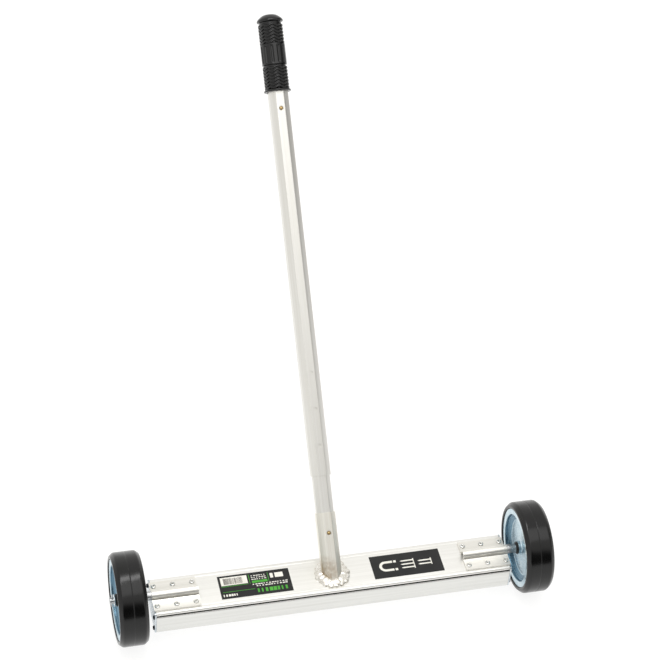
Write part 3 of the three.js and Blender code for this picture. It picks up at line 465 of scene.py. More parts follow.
def drilled(mesh, cutters):
    """The mesh with each cutter mesh cut away."""
    tools = [bpy.data.objects.new("cutter", cutter) for cutter in cutters]
    for tool in tools:
        bpy.context.scene.collection.objects.link(tool)

    def setup(passing):
        for tool in tools:
            hole = passing.modifiers.new("hole", "BOOLEAN")
            hole.operation = "DIFFERENCE"
            hole.solver = "EXACT"
            hole.object = tool

    made = with_modifiers(mesh, setup)
    for tool in tools:
        bpy.data.objects.remove(tool)
    return smoothed(made)


SIDES = (("left", -1), ("right", 1))

# %% [markdown]
# ## Top plate and magnet channel
# The housing is two extrusions: a deep channel that holds the magnets, and a plate that
# closes it and turns down over its front and rear edges. The gap under each lip lies in
# shade, so a near-black strip of painted shade lies in it and draws a dark line along the
# bar.
# An extrusion is one outline pushed along the bar, so both are drawn as outlines of
# (depth, height), and only their fine grooves and roundings go beyond the frame's shape.

# %% Top plate
PLATE_END = plate_high.x / MM
FRONT = plate_low.y / MM
REAR = plate_high.y / MM
TOP = PLATE_TOP / MM
LIP_BOTTOM = plate_low.z / MM
PLATE_THICK = 3.0
LIP_WIDTH = 3.2
LIP_ROUND = 3.6
GROOVE_IN = 7.6
GROOVE_WIDE = 0.9
GROOVE_DEEP = 0.18
ROUND_STEPS = 8


def quarter_round(edge, inward):
    """The round from an edge's upright face up to the plate's top, as points."""
    points = []
    for step in range(ROUND_STEPS + 1):
        turn = math.pi / 2 * step / ROUND_STEPS
        across = edge + inward * LIP_ROUND * (1 - math.cos(turn))
        points.append((across, TOP - LIP_ROUND * (1 - math.sin(turn)), 0))
    return points


def plate_outline():
    """The plate's section, from the front lip round to the rear one and back below."""
    groove = [(GROOVE_IN, 0), (GROOVE_IN + GROOVE_WIDE / 2, -GROOVE_DEEP), (GROOVE_IN + GROOVE_WIDE, 0)]
    top = [(FRONT + a, TOP + b, 0.15) for a, b in groove]
    top += [(REAR - a, TOP + b, 0.15) for a, b in groove[::-1]]
    return rounded(
        [
            (FRONT + LIP_WIDTH, LIP_BOTTOM, 0.5),
            (FRONT, LIP_BOTTOM, 0.3),
            *quarter_round(FRONT, 1),
            *top,
            *quarter_round(REAR, -1)[::-1],
            (REAR, LIP_BOTTOM, 0.3),
            (REAR - LIP_WIDTH, LIP_BOTTOM, 0.5),
            (REAR - LIP_WIDTH, TOP - PLATE_THICK, 0.6),
            (FRONT + LIP_WIDTH, TOP - PLATE_THICK, 0.6),
        ]
    )


plate_mesh = pushed("plate", plate_outline(), -PLATE_END, PLATE_END, ALONG_X)
stand_in("top_plate", plate_mesh, plate_finish, "head")
print("plate outline has", len(plate_outline()), "points")

# %% Magnet channel
channel_low, channel_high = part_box("magnet_channel")
CHANNEL_WALL = 2.4
CHANNEL_FLOOR = 1.6
SHOULDER_ROUND = 2.6
SHOULDER_TOP = 64.4
SHOULDER_NOTCH = 6.0
LEDGE_WIDTH = 13.0
JOINT_NEAR = 0.9
JOINT_FAR = 4.6
JOINT_TOP = 67.8


def channel_outline():
    """The channel's section: floor, two sides with rounded shoulders, and two ledges."""
    front, rear = channel_low.y / MM, channel_high.y / MM
    low, high = channel_low.z / MM, channel_high.z / MM - 0.1
    half = [
        (0, low, 1.5),
        (0, SHOULDER_TOP, SHOULDER_ROUND),
        (SHOULDER_NOTCH, SHOULDER_TOP, 0.3),
        (SHOULDER_NOTCH, high, 0.3),
        (LEDGE_WIDTH, high, 0.4),
        (LEDGE_WIDTH, high - CHANNEL_WALL, 0.4),
        (CHANNEL_WALL, high - CHANNEL_WALL, 4.0),
        (CHANNEL_WALL, low + CHANNEL_FLOOR, 0.8),
    ]
    first = [(front + a, b, size) for a, b, size in half]
    second = [(rear - a, b, size) for a, b, size in half[::-1]]
    return rounded(first + second)


def joint_outline(edge, inward):
    """A strip of painted shade in the gap under a lip."""
    near, far = edge + JOINT_NEAR * inward, edge + JOINT_FAR * inward
    low, high = SHOULDER_TOP + 0.05, JOINT_TOP
    return [Vector(p) for p in ((near, low), (far, low), (far, high), (near, high))]


# Each strip is painted shade, a dark sheet in the gap under a lip where shade falls.
joint_pieces = {"front": (channel_low.y / MM, 1), "rear": (channel_high.y / MM, -1)}
for name, (edge, inward) in joint_pieces.items():
    strip = pushed("joint", joint_outline(edge, inward), -PLATE_END + 0.5, PLATE_END - 0.5, ALONG_X)
    add_piece("visual_joint_" + name, strip, painted_joint_shade_finish, "head", [])
channel_mesh = pushed("channel", channel_outline(), -PLATE_END, PLATE_END, ALONG_X)
stand_in("magnet_channel", channel_mesh, channel_finish, "head")
print("channel outline has", len(channel_outline()), "points")

# %% [markdown]
# ## Axle saddles
# Each axle is held down by a pressed aluminium saddle: a flat plate with a half-round hump
# over the steel rod. The hump's arc needs many short sides to look round in a low light.

# %% Saddles
SADDLE_THICK = 2.4
SADDLE_EDGE = 0.6
HUMP_STEPS = 28


def saddle_outline(low, high, inner, outer, level):
    """The saddle's section: two flat wings and the hump."""
    middle = AXLE.y / MM
    half = (high.y - low.y) / 2 / MM
    bottom = low.z / MM
    top = bottom + (outer - inner)
    arcs = []
    for radius, turns in ((outer, range(HUMP_STEPS + 1)), (inner, range(HUMP_STEPS, -1, -1))):
        arcs.append([(middle + radius * math.cos(math.pi * i / HUMP_STEPS),
                      level + radius * math.sin(math.pi * i / HUMP_STEPS)) for i in turns])
    wing = [(middle + half, bottom), (middle + half, top - SADDLE_EDGE), (middle + half - SADDLE_EDGE, top)]
    foot = [(middle + outer + 2.2, top), (middle + outer + 0.9, top + 0.5), (middle + outer, top + 1.8)]
    other = [(2 * middle - a, b) for a, b in (wing + foot)[::-1]]
    return wing + foot + arcs[0] + other + [(middle - inner, bottom)] + arcs[1] + [(middle + inner, bottom)]


for side, sign in SIDES:
    low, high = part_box("axle_saddle_" + side)
    level = AXLE.z / MM
    outer = high.z / MM - level
    inner = outer - SADDLE_THICK
    start, end = low.x / MM, high.x / MM
    mesh = pushed("saddle", saddle_outline(low, high, inner, outer, level), start, end, ALONG_X)
    stand_in("axle_saddle_" + side, mesh, saddle_finish, "head")
    print(side, "saddle from", round(start, 1), "to", round(end, 1), "mm")

# %% [markdown]
# ## Wheels
# A wheel is a solid rubber tyre moulded onto a rim that is pressed from two zinc plated
# dishes, each with a flat web, a collar and a stepped drum, on a black nylon bush. All of
# them are spun outlines. The tyre has a bevel on each edge, a low step beside the rim, and
# a fine parting groove round the tread where the two halves of its mould met.

# %% Tyres
TYRE_RADIUS = (tyre_high.z - tyre_low.z) / 2 / MM
TYRE_HALF = (tyre_high.x - tyre_low.x) / 2 / MM
RIM_RADIUS = 67.2
RIM_SEAT = 58.4
RIM_FACE = 22.2
TYRE_SIDES = 144
WHEEL_SIDES = 112


def tyre_outline():
    """The tyre's section as (radius, along) corners."""
    half = [
        (RIM_SEAT + 0.3, RIM_FACE - 1.8, 0.3),
        (RIM_RADIUS + 0.5, RIM_FACE - 1.8, 0.3),
        (RIM_RADIUS + 0.5, TYRE_HALF - 0.8, 0.4),
        (RIM_RADIUS + 2.2, TYRE_HALF, 0.6),
        (TYRE_RADIUS - 5.2, TYRE_HALF, 1.2),
        (TYRE_RADIUS - 0.7, TYRE_HALF - 5.4, 1.6),
        (TYRE_RADIUS, TYRE_HALF - 7.6, 1.5),
        (TYRE_RADIUS, 0.9, 0.3),
        (TYRE_RADIUS - 0.45, 0.0, 0.3),
    ]
    return rounded(half + [(r, -a, size) for r, a, size in half[-2::-1]])


for side, sign in SIDES:
    mesh = spun("tyre", tyre_outline(), TYRE_SIDES, on_axle(sign * TYRE_MIDDLE))
    stand_in("tyre_" + side, mesh, tyre_finish, "wheel_" + side)
print("tyre radius", round(TYRE_RADIUS, 1), "mm, half width", round(TYRE_HALF, 1), "mm")

# %% Rims
COLLAR_BORE = 8.9
COLLAR_RADIUS = 10.8
COLLAR_END = 18.2
WEB_IN = 10.6
WEB_OUT = 12.1
WEB_RADIUS = 47.4
DRUM_RADIUS = 56.9
SKIRT_END = 1.0


def rim_outline():
    """One pressed dish as (radius, along) corners: web, step, drum, flange, collar."""
    return rounded(
        [
            (COLLAR_BORE, WEB_IN, 0.2),
            (WEB_RADIUS, WEB_IN, 1.5),
            (53.0, 13.2, 1.5),
            (DRUM_RADIUS, 14.0, 0.6),
            (DRUM_RADIUS, SKIRT_END, 0.3),
            (RIM_SEAT, SKIRT_END, 0.3),
            (RIM_SEAT, RIM_FACE - 1.5, 0.5),
            (RIM_RADIUS, RIM_FACE - 1.5, 0.3),
            (RIM_RADIUS, RIM_FACE, 0.5),
            (RIM_SEAT - 0.2, RIM_FACE, 2.0),
            (DRUM_RADIUS, 20.6, 1.2),
            (DRUM_RADIUS, 17.0, 1.4),
            (54.4, 15.9, 0.5),
            (53.8, 16.3, 0.4),
            (53.0, 15.5, 0.8),
            (48.6, 12.7, 0.5),
            (WEB_RADIUS, WEB_OUT, 1.2),
            (12.4, WEB_OUT, 1.0),
            (COLLAR_RADIUS, 13.7, 1.0),
            (COLLAR_RADIUS, COLLAR_END, 0.4),
            (COLLAR_BORE, COLLAR_END, 0.3),
        ]
    )


for side, sign in SIDES:
    for label, face in (("outer", sign), ("inner", -sign)):
        node = "rim_" + label + "_" + side
        mesh = spun(node, rim_outline(), WHEEL_SIDES, on_axle(sign * TYRE_MIDDLE, face))
        stand_in(node, mesh, zinc_finish, "wheel_" + side)
print("rim flange from", RIM_SEAT, "to", RIM_RADIUS, "mm radius")

# %% Bushes
def bush_outline(half):
    """The nylon bush: a head with a stepped face on each side of the web."""
    side = [
        (5.6, half, 0.2),
        (8.4, half, 0.4),
        (8.9, half - 1.4, 0.3),
        (10.8, half - 1.4, 0.8),
        (10.8, half - 3.5, 0.4),
        (8.6, half - 3.5, 0.3),
    ]
    return rounded(side + [(r, -a, size) for r, a, size in side[::-1]])


for side, sign in SIDES:
    low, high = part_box("wheel_bush_" + side)
    mesh = spun("bush", bush_outline((high.x - low.x) / 2 / MM), 64, on_axle(sign * TYRE_MIDDLE))
    stand_in("wheel_bush_" + side, mesh, nylon_finish, "wheel_" + side)
print("bushes turn on the axles")

# %% [markdown]
# ## Axles, spacers, washers and cotter pins
# A plain steel rod runs from under each saddle through a spacer and the wheel. A washer and
# a split cotter pin hold the wheel on. The rod and the rings are spun outlines; the pin is
# one bent wire, so it is a curve with a round section.

# %% Axles and rings
AXLE_RADIUS = 5.5
PIN_FROM_TIP = 3.6
PIN_HOLE = 1.75
RUNNING = 0.09
SPACER_RADIUS = 8.0
WASHER_RADIUS = 10.2


def ring_outline(bore, radius, start, end, edge):
    """A plain ring with broken edges."""
    return rounded([(bore, start, 0.2), (radius, start, edge), (radius, end, edge), (bore, end, 0.2)])


for side, sign in SIDES:
    low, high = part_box("axle_" + side)
    near, tip = sorted((abs(low.x) / MM, abs(high.x) / MM))
    ends = [(0, near, 0), (AXLE_RADIUS, near, 0.8), (AXLE_RADIUS, tip, 1.0), (0, tip, 0)]
    rod = rounded(ends, closed=False)
    mesh = spun("axle", rod, 64, on_axle(0, sign))
    across = Matrix.Translation((sign * (tip - PIN_FROM_TIP) * MM, AXLE.y, AXLE.z))
    drill = spun("drill", bar_outline(PIN_HOLE, -8, 8), 24, across)
    stand_in("axle_" + side, drilled(mesh, [drill]), steel_finish, "head")
    for node, radius, finish, slot in (
        ("axle_spacer_", SPACER_RADIUS, steel_finish, "bright_steel"),
        ("axle_washer_", WASHER_RADIUS, plain_zinc_finish, "zinc_plate"),
    ):
        low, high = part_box(node + side)
        start, end = sorted((abs(low.x) / MM, abs(high.x) / MM))
        ring = ring_outline(AXLE_RADIUS + RUNNING, radius, start, end, 0.5)
        stand_in(node + side, spun(node, ring, 56, on_axle(0, sign)), finish, "head")
    print(side, "axle tip at", round(tip, 1), "mm")

# %% Cotter pins
PIN_WIRE = 1.0
PIN_BENDS = [(3.9, -11.2), (2.2, -9.9), (0.9, -7.4), (0.6, 0), (0.6, 6.9), (2.3, 9.2), (2.5, 11.4), (0, 13.4)]


def pin_mesh(sign, tip):
    """A split pin: one leg up, round the eye and down again, both feet bent out."""
    path = PIN_BENDS + [(-a, b) for a, b in PIN_BENDS[-2::-1]]
    curve = bpy.data.curves.new("pin", "CURVE")
    curve.dimensions = "3D"
    curve.bevel_depth = PIN_WIRE * MM
    curve.bevel_resolution = 3
    curve.use_fill_caps = True
    line = curve.splines.new("NURBS")
    line.points.add(len(path) - 1)
    for point, (y, z) in zip(line.points, path):
        point.co = (sign * tip * MM, AXLE.y + y * MM, AXLE.z + z * MM, 1)
    line.use_endpoint_u = True
    line.order_u = 3
    line.resolution_u = 5
    return smoothed(plain_mesh(bpy.data.objects.new("pin", curve)), 50)


for side, sign in SIDES:
    low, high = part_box("cotter_pin_" + side)
    middle = abs(low.x + high.x) / 2 / MM
    stand_in("cotter_pin_" + side, pin_mesh(sign, middle), steel_finish, "head")
print("cotter pins bent from", 2 * PIN_WIRE, "mm wire")

# %% [markdown]
# ## The handle's tubes
# The handle is three octagonal aluminium tubes: a short socket that is welded to the plate,
# a lower tube that slides in it, and an upper tube that slides over the lower one. Each is
# an octagon with softly rounded corners and a wall, pushed along the handle and drilled
# through its front flat for the spring buttons.

# %% Octagonal tubes
TUBE_FLATS = 33.0
TUBE_WALL = 1.6
CORNER_ROUND = 1.3
LOWER_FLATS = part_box("lower_tube")[1].x * 2 / MM
BUTTON_RADIUS = 3.1
HOLE_RADIUS = BUTTON_RADIUS + 0.25
BUTTON_HOLE_RADIUS = BUTTON_RADIUS + 0.8
ADJUST_FIRST = 50.3
ADJUST_PITCH = 61.2


def octagon(flats, rounding):
    """An octagon with flats on its four sides, as rounded corners."""
    reach = flats / 2 / math.cos(math.pi / 8)
    turns = [math.pi / 8 + i * math.pi / 4 for i in range(8)]
    return rounded([(reach * math.cos(t), reach * math.sin(t), rounding) for t in turns])


def tube_mesh(flats, start, end, place):
    """A tube along z with an octagonal bore, and softened ends."""
    edge = 0.3
    steps = [(0.0, start + edge), (edge, start), (TUBE_WALL - edge, start), (TUBE_WALL, start + edge)]
    steps += [(TUBE_WALL, end - edge), (TUBE_WALL - edge, end), (edge, end), (0.0, end - edge)]
    loops = []
    points = []
    for inward, along in steps:
        ring = octagon(flats - 2 * inward, max(CORNER_ROUND - inward * 0.4, 0.2))
        loops.append(list(range(len(points), len(points) + len(ring))))
        points += [(a, b, along) for a, b in ring]
    faces = []
    for lower, upper in zip(loops, loops[1:] + loops[:1]):
        count = len(lower)
        faces += [[lower[i], lower[(i + 1) % count], upper[(i + 1) % count], upper[i]] for i in range(count)]
    return mesh_of("tube", points, faces, place, 25)


def front_drill(along, place, radius=HOLE_RADIUS):
    """A round bar through the front flat only."""
    turn = Matrix.Translation((0, 0, along * MM)) @ Matrix.Rotation(math.pi / 2, 4, "X")
    return spun("drill", bar_outline(radius, 4, 30), 32, place @ turn)


print("tubes measure", TUBE_FLATS, "and", round(LOWER_FLATS, 1), "mm across flats")

# %% [markdown]
# How far up the handle each piece starts and ends is read from its box: along a 45 degree
# line, a tube's far corner tells its length once half its width is taken off.

# %% Cut and place the three tubes
def along_handle(point):
    """How far a point lies up the handle from its foot, in mm."""
    return (ON_HANDLE.inverted() @ point).z / MM


def tube_span(node, flats):
    """Start and end of a tube along the handle, from its box."""
    low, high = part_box(node)
    across = flats / 2 * MM * math.cos(HANDLE_LEAN)
    start = along_handle(Vector((0, low.y + across, low.z + across)))
    end = along_handle(Vector((0, high.y - across, high.z - across)))
    return start, end


SOCKET_END = tube_span("handle_socket", TUBE_FLATS)[1]
LOWER_START, LOWER_END = tube_span("lower_tube", LOWER_FLATS)
UPPER_START, UPPER_END = tube_span("upper_tube", TUBE_FLATS)
button_low, button_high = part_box("socket_button")
SOCKET_BUTTON = along_handle((button_low + button_high) / 2)
button_low, button_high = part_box("telescope_button")
TOP_BUTTON = along_handle((button_low + button_high) / 2)
ADJUST_HOLES = [UPPER_START + ADJUST_FIRST + i * ADJUST_PITCH for i in range(3)]

lower = tube_mesh(LOWER_FLATS, LOWER_START, LOWER_END, ON_HANDLE)
lower = drilled(lower, [front_drill(at, ON_HANDLE) for at in (SOCKET_BUTTON, TOP_BUTTON)])
stand_in("lower_tube", lower, tube_finish, "lower_handle")
upper = tube_mesh(TUBE_FLATS, UPPER_START, UPPER_END, ON_HANDLE)
upper_holes = [front_drill(at, ON_HANDLE) for at in ADJUST_HOLES]
upper_holes.append(front_drill(TOP_BUTTON, ON_HANDLE, BUTTON_HOLE_RADIUS))
upper = drilled(upper, upper_holes)
stand_in("upper_tube", upper, tube_finish, "upper_handle")
below_plate = pushed(
    "below", [(-60, -60), (60, -60), (60, 60), (-60, 60)], -80, 0.3, Matrix.Translation(FOOT)
)
socket = tube_mesh(TUBE_FLATS, -TUBE_FLATS, SOCKET_END, ON_HANDLE)
socket = drilled(socket, [below_plate, front_drill(SOCKET_BUTTON, ON_HANDLE, BUTTON_HOLE_RADIUS)])
stand_in("handle_socket", socket, socket_finish, "head")
print("socket ends at", round(SOCKET_END, 1), "upper tube", round(UPPER_START, 1), round(UPPER_END, 1))

# %% [markdown]
# ## Spring buttons
# A domed brass button on a leaf spring pokes through each tube and locks it. The shoulder
# that shows in the hole is a little darker than the polished dome, which the clearance
# round it gives by itself.

# %% Buttons
def button_mesh(along):
    """A domed pin that stands out of the front flat."""
    face = TUBE_FLATS / 2
    turn = Matrix.Translation((0, 0, along * MM)) @ Matrix.Rotation(math.pi / 2, 4, "X")
    outline = rounded(
        [
            (0, 9.2, 0),
            (2.0, 9.2, 0.2),
            (2.0, 11.2, 0.2),
            (BUTTON_RADIUS, 11.8, 0.3),
            (BUTTON_RADIUS, face + 0.5, 0.9),
            (BUTTON_RADIUS * 0.62, face + 1.5, 1.2),
            (0, face + 1.6, 0),
        ],
        closed=False,
    )
    return spun("button", outline, 40, ON_HANDLE @ turn)


for node, along in (("socket_button", SOCKET_BUTTON), ("telescope_button", TOP_BUTTON)):
    stand_in(node, button_mesh(along), brass_finish, node)
    print(node, "at", round(along, 1), "mm up the handle")

# %% [markdown]
# ## Geometry Nodes for what repeats
# Rivets, weld ripples, grip ribs and printed bars all repeat, so each is a small Geometry
# Nodes tree. The sizes are named inputs of the tree. The result is turned into a plain mesh
# at once, since only real vertices are kept when the model is exported.

# %% Tree helpers
def new_tree(name, sizes):
    """A geometry tree with a named number for each size, and its input node's outputs."""
    tree = bpy.data.node_groups.new(name, "GeometryNodeTree")
    tree.interface.new_socket("Geometry", in_out="INPUT", socket_type="NodeSocketGeometry")
    for label, value in sizes.items():
        kind = "NodeSocketInt" if isinstance(value, int) else "NodeSocketFloat"
        tree.interface.new_socket(label, in_out="INPUT", socket_type=kind)
    tree.interface.new_socket("Pattern", in_out="INPUT", socket_type="NodeSocketObject")
    tree.interface.new_socket("Finish", in_out="INPUT", socket_type="NodeSocketMaterial")
    tree.interface.new_socket("Geometry", in_out="OUTPUT", socket_type="NodeSocketGeometry")
    return tree, add_node(tree, "NodeGroupInput").outputs


def end_tree(tree, geometry, finish):
    """Ends a tree: instances become real, and the result gets its material."""
    real = add_node(tree, "GeometryNodeRealizeInstances", {"Geometry": geometry})
    painted = add_node(tree, "GeometryNodeSetMaterial", {"Geometry": real, "Material": finish})
    add_node(tree, "NodeGroupOutput", {"Geometry": painted})


def grown(tree, sizes, finish, pattern=None, start=None):
    """The plain mesh that a tree makes with these sizes."""
    ids = {item.name: item.identifier for item in tree.interface.items_tree if item.in_out == "INPUT"}
    stamp = None
    if pattern is not None:
        stamp = bpy.data.objects.new("pattern", pattern)
        bpy.context.scene.collection.objects.link(stamp)

    def setup(passing):
        grow = passing.modifiers.new("grow", "NODES")
        grow.node_group = tree
        for label, value in {**sizes, "Pattern": stamp, "Finish": finish}.items():
            grow[ids[label]] = value

    made = with_modifiers(start or bpy.data.meshes.new("start"), setup)
    if stamp is not None:
        bpy.data.objects.remove(stamp)
    return made


def moved(mesh, place):
    """The mesh after a move."""
    mesh.transform(place)
    return mesh


print("trees end in Realize Instances and Set Material")

# %% [markdown]
# ## Rivets
# Six pop rivets hold each saddle. A rivet is a low dome with a hollow centre, where the
# broken mandrel's end sits. The end is coloured near-black, so that it also paints the
# shade in the hollow as a dark spot. The tree makes a grid of points for one end, copies
# it to the other end, and puts the rivet on every point.

# %% Rivet tree
RIVET_SIZES = {"First": 6.5 * MM, "Pitch": 32.3 * MM, "Rows Apart": 43.2 * MM, "Half Bar": HALF_BAR}


def rivet_tree():
    """Puts a pattern on a grid of three by two places at each end of the bar."""
    tree, given = new_tree("rivet_rows", RIVET_SIZES)
    long = add_node(tree, "ShaderNodeMath", {0: given["Pitch"], 1: 2.0}, operation="MULTIPLY")
    grid = add_node(
        tree,
        "GeometryNodeMeshGrid",
        {"Size X": long, "Size Y": given["Rows Apart"], "Vertices X": 3, "Vertices Y": 2},
    )
    out = add_node(tree, "ShaderNodeMath", {0: given["Half Bar"], 1: given["First"]}, operation="SUBTRACT")
    middle = add_node(tree, "ShaderNodeMath", {0: out, 1: given["Pitch"]}, operation="SUBTRACT")
    both = add_node(tree, "GeometryNodeJoinGeometry")
    for sign in (1.0, -1.0):
        far = add_node(tree, "ShaderNodeMath", {0: middle, 1: sign}, operation="MULTIPLY")
        at = add_node(tree, "ShaderNodeCombineXYZ", {"X": far})
        end = add_node(tree, "GeometryNodeTransform", {"Geometry": grid, "Translation": at})
        tree.links.new(end.outputs["Geometry"], both.inputs["Geometry"])
    stamp = add_node(tree, "GeometryNodeObjectInfo", {"Object": given["Pattern"]})
    turn = add_node(tree, "FunctionNodeRandomValue", {2: 0.0, 3: 2 * math.pi, "Seed": 4}, data_type="FLOAT")
    spin = add_node(tree, "ShaderNodeCombineXYZ", {"Z": turn.outputs[1]})
    placed = add_node(
        tree,
        "GeometryNodeInstanceOnPoints",
        {"Points": both, "Instance": stamp.outputs["Geometry"], "Rotation": spin},
    )
    end_tree(tree, placed, given["Finish"])
    return tree


rivet_low, rivet_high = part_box("rivet_left_1")
RIVET_HIGH = 1.6
SEAT = rivet_high.z / MM - RIVET_HIGH
RIVET_DOME = [(2.4, -6.0, 0.2), (2.4, 0.0, 0.1), (4.6, 0.0, 0.2), (4.5, 0.4, 0.3), (3.3, 1.3, 0.9)]
RIVET_HOLE = [(2.3, 1.4, 0.4), (1.6, 0.7, 0.3), (1.6, -6.0, 0.2)]
RIVET_STUB = [(0, -4.0, 0), (1.45, -4.0, 0.1), (1.45, -0.5, 0.3), (0.5, -0.3, 0.2), (0, -0.5, 0)]

rivet_nodes = ["rivet_" + side + "_" + str(i) for side, _ in SIDES for i in range(1, 7)]
rows = rivet_tree()
at_seat = Matrix.Translation((0, AXLE.y, SEAT * MM))
unplaced = Matrix.Identity(4)
dome = spun("rivet", rounded(RIVET_DOME + RIVET_HOLE), 28, unplaced)
heads = moved(grown(rows, RIVET_SIZES, rivet_finish, dome), at_seat)
add_piece("visual_rivets", smoothed(heads), rivet_finish, "head", rivet_nodes)
# Mandrel ends, darkened as painted shade in each rivet's hollow.
stub = spun("stub", rounded(RIVET_STUB, closed=False), 16, unplaced)
stubs = moved(grown(rows, RIVET_SIZES, mandrel_and_hollow_shade_finish, stub), at_seat)
add_piece("visual_rivet_mandrels", smoothed(stubs), mandrel_and_hollow_shade_finish, "head", [])
print("rivets:", len(heads.polygons), "faces in 12 heads")

# %% [markdown]
# ## The weld bead
# The welder moved the arc in short steps round the socket's foot, and each step froze as a
# rounded ripple over the last one. The tree puts flattened drops round an ellipse, and
# again round a smaller one that climbs the socket, each drop with its own size. A voxel
# remesh then melts them into one skin.

# %% Weld tree
weld_low, weld_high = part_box("weld_bead")
DROP = 9.4 * MM
WELD_SIZES = {
    "Half Width": weld_high.x - DROP * 0.86,
    "Half Length": (weld_high.y - weld_low.y) / 2 - DROP * 0.86,
    "Ripples": 17,
    "Inner Ring": 0.8,
    "Inner Rise": 1.6 * MM,
    "Drop": DROP,
    "Spread": 0.2,
    "Seed": 11,
}


def weld_tree():
    """Puts uneven drops round an ellipse."""
    tree, given = new_tree("weld_ripples", WELD_SIZES)
    circle = add_node(
        tree, "GeometryNodeCurvePrimitiveCircle", {"Resolution": given["Ripples"], "Radius": 1.0}
    )
    size = add_node(
        tree, "ShaderNodeCombineXYZ", {"X": given["Half Width"], "Y": given["Half Length"], "Z": 1.0}
    )
    path = add_node(tree, "GeometryNodeTransform", {"Geometry": circle, "Scale": size})
    shrink = add_node(
        tree, "ShaderNodeCombineXYZ", {"X": given["Inner Ring"], "Y": given["Inner Ring"], "Z": 1.0}
    )
    rise = add_node(tree, "ShaderNodeCombineXYZ", {"Z": given["Inner Rise"]})
    inner = add_node(
        tree,
        "GeometryNodeTransform",
        {"Geometry": path, "Scale": shrink, "Translation": rise, "Rotation": (0.0, 0.0, 0.17)},
    )
    rings = add_node(tree, "GeometryNodeJoinGeometry", {"Geometry": path})
    tree.links.new(inner.outputs["Geometry"], rings.inputs["Geometry"])
    heading = add_node(tree, "GeometryNodeInputTangent")
    turn = add_node(
        tree, "FunctionNodeAlignRotationToVector", {"Vector": heading.outputs["Tangent"]}, axis="X"
    )
    low = add_node(tree, "ShaderNodeMath", {0: 1.0, 1: given["Spread"]}, operation="SUBTRACT")
    high = add_node(tree, "ShaderNodeMath", {0: 1.0, 1: given["Spread"]}, operation="ADD")
    swell = add_node(
        tree, "FunctionNodeRandomValue", {2: low, 3: high, "Seed": given["Seed"]}, data_type="FLOAT"
    )
    drop = add_node(
        tree, "GeometryNodeMeshUVSphere", {"Segments": 24, "Rings": 16, "Radius": given["Drop"]}
    )
    flat = add_node(tree, "GeometryNodeTransform", {"Geometry": drop, "Scale": (0.8, 1.0, 0.5)})
    placed = add_node(
        tree,
        "GeometryNodeInstanceOnPoints",
        {"Points": rings, "Instance": flat, "Rotation": turn, "Scale": swell.outputs[1]},
    )
    end_tree(tree, placed, given["Finish"])
    return tree


def melted(passing):
    """Remesh, so that the drops share one skin, then smooth it a little."""
    skin = passing.modifiers.new("skin", "REMESH")
    skin.mode = "VOXEL"
    skin.voxel_size = 0.45 * MM
    soft = passing.modifiers.new("soft", "SMOOTH")
    soft.factor = 0.5
    soft.iterations = 7


foot_ring = Matrix.Translation((0, (weld_low.y + weld_high.y) / 2, PLATE_TOP + 0.6 * MM))
ripples = moved(grown(weld_tree(), WELD_SIZES, weld_finish), foot_ring)
bead = with_modifiers(ripples, melted)
stand_in("weld_bead", smoothed(bead, 180), weld_finish, "head")
print("weld bead:", len(bead.polygons), "faces")

# %% [markdown]
# ## The grip
# The grip is a soft black sleeve. Its two ends carry ribs that wave up and down as they go
# round, its middle has twelve long round-ended grooves, and it ends in a domed cap. The
# sleeve is a spun outline with the grooves pressed in by a rule. The ribs are rings bent
# into a wave and repeated along the handle by a tree.

# %% Grip ribs
GRIP_LAP = 104.0
GRIP_START = UPPER_END - GRIP_LAP
GRIP_LENGTH = 132.0
GRIP_ROOT = 18.7
RIB_PITCH = 5.6
RIB_SIZES = {
    "Ring Radius": 19.1 * MM,
    "Rib Radius": 1.85 * MM,
    "Rib Pitch": RIB_PITCH * MM,
    "Rib Count": 7,
    "Wave Height": 1.5 * MM,
    "Waves Round": 8,
}


def rib_tree():
    """Waves a ring up and down, and repeats it along z."""
    tree, given = new_tree("wavy_ribs", RIB_SIZES)
    ring = add_node(
        tree, "GeometryNodeCurvePrimitiveCircle", {"Resolution": 120, "Radius": given["Ring Radius"]}
    )
    where = add_node(tree, "GeometryNodeInputPosition")
    parts = add_node(tree, "ShaderNodeSeparateXYZ", {"Vector": where.outputs["Position"]})
    angle = add_node(
        tree, "ShaderNodeMath", {0: parts.outputs["Y"], 1: parts.outputs["X"]}, operation="ARCTAN2"
    )
    phase = add_node(tree, "ShaderNodeMath", {0: angle, 1: given["Waves Round"]}, operation="MULTIPLY")
    wave = add_node(tree, "ShaderNodeMath", {0: phase}, operation="COSINE")
    rise = add_node(tree, "ShaderNodeMath", {0: wave, 1: given["Wave Height"]}, operation="MULTIPLY")
    up = add_node(tree, "ShaderNodeCombineXYZ", {"Z": rise})
    waved = add_node(tree, "GeometryNodeSetPosition", {"Geometry": ring, "Offset": up})
    section = add_node(
        tree, "GeometryNodeCurvePrimitiveCircle", {"Resolution": 14, "Radius": given["Rib Radius"]}
    )
    rib = add_node(tree, "GeometryNodeCurveToMesh", {"Curve": waved, "Profile Curve": section})
    step = add_node(tree, "ShaderNodeCombineXYZ", {"Z": given["Rib Pitch"]})
    line = add_node(
        tree, "GeometryNodeMeshLine", {"Count": given["Rib Count"], "Offset": step}, mode="OFFSET"
    )
    placed = add_node(tree, "GeometryNodeInstanceOnPoints", {"Points": line, "Instance": rib})
    end_tree(tree, placed, given["Finish"])
    return tree


ribs = rib_tree()
FLUTES_FROM = 46.0
FLUTES_TO = 80.0
rib_runs = {"low": (6.6, 7), "high": (FLUTES_TO + 3.6, 6)}
for name, (start, count) in rib_runs.items():
    run = grown(ribs, {**RIB_SIZES, "Rib Count": count}, grip_finish)
    run = moved(run, ON_HANDLE @ Matrix.Translation((0, 0, (GRIP_START + start) * MM)))
    add_piece("visual_grip_ribs_" + name, smoothed(run, 180), grip_finish, "upper_handle", [])
    print(name, "ribs:", count)

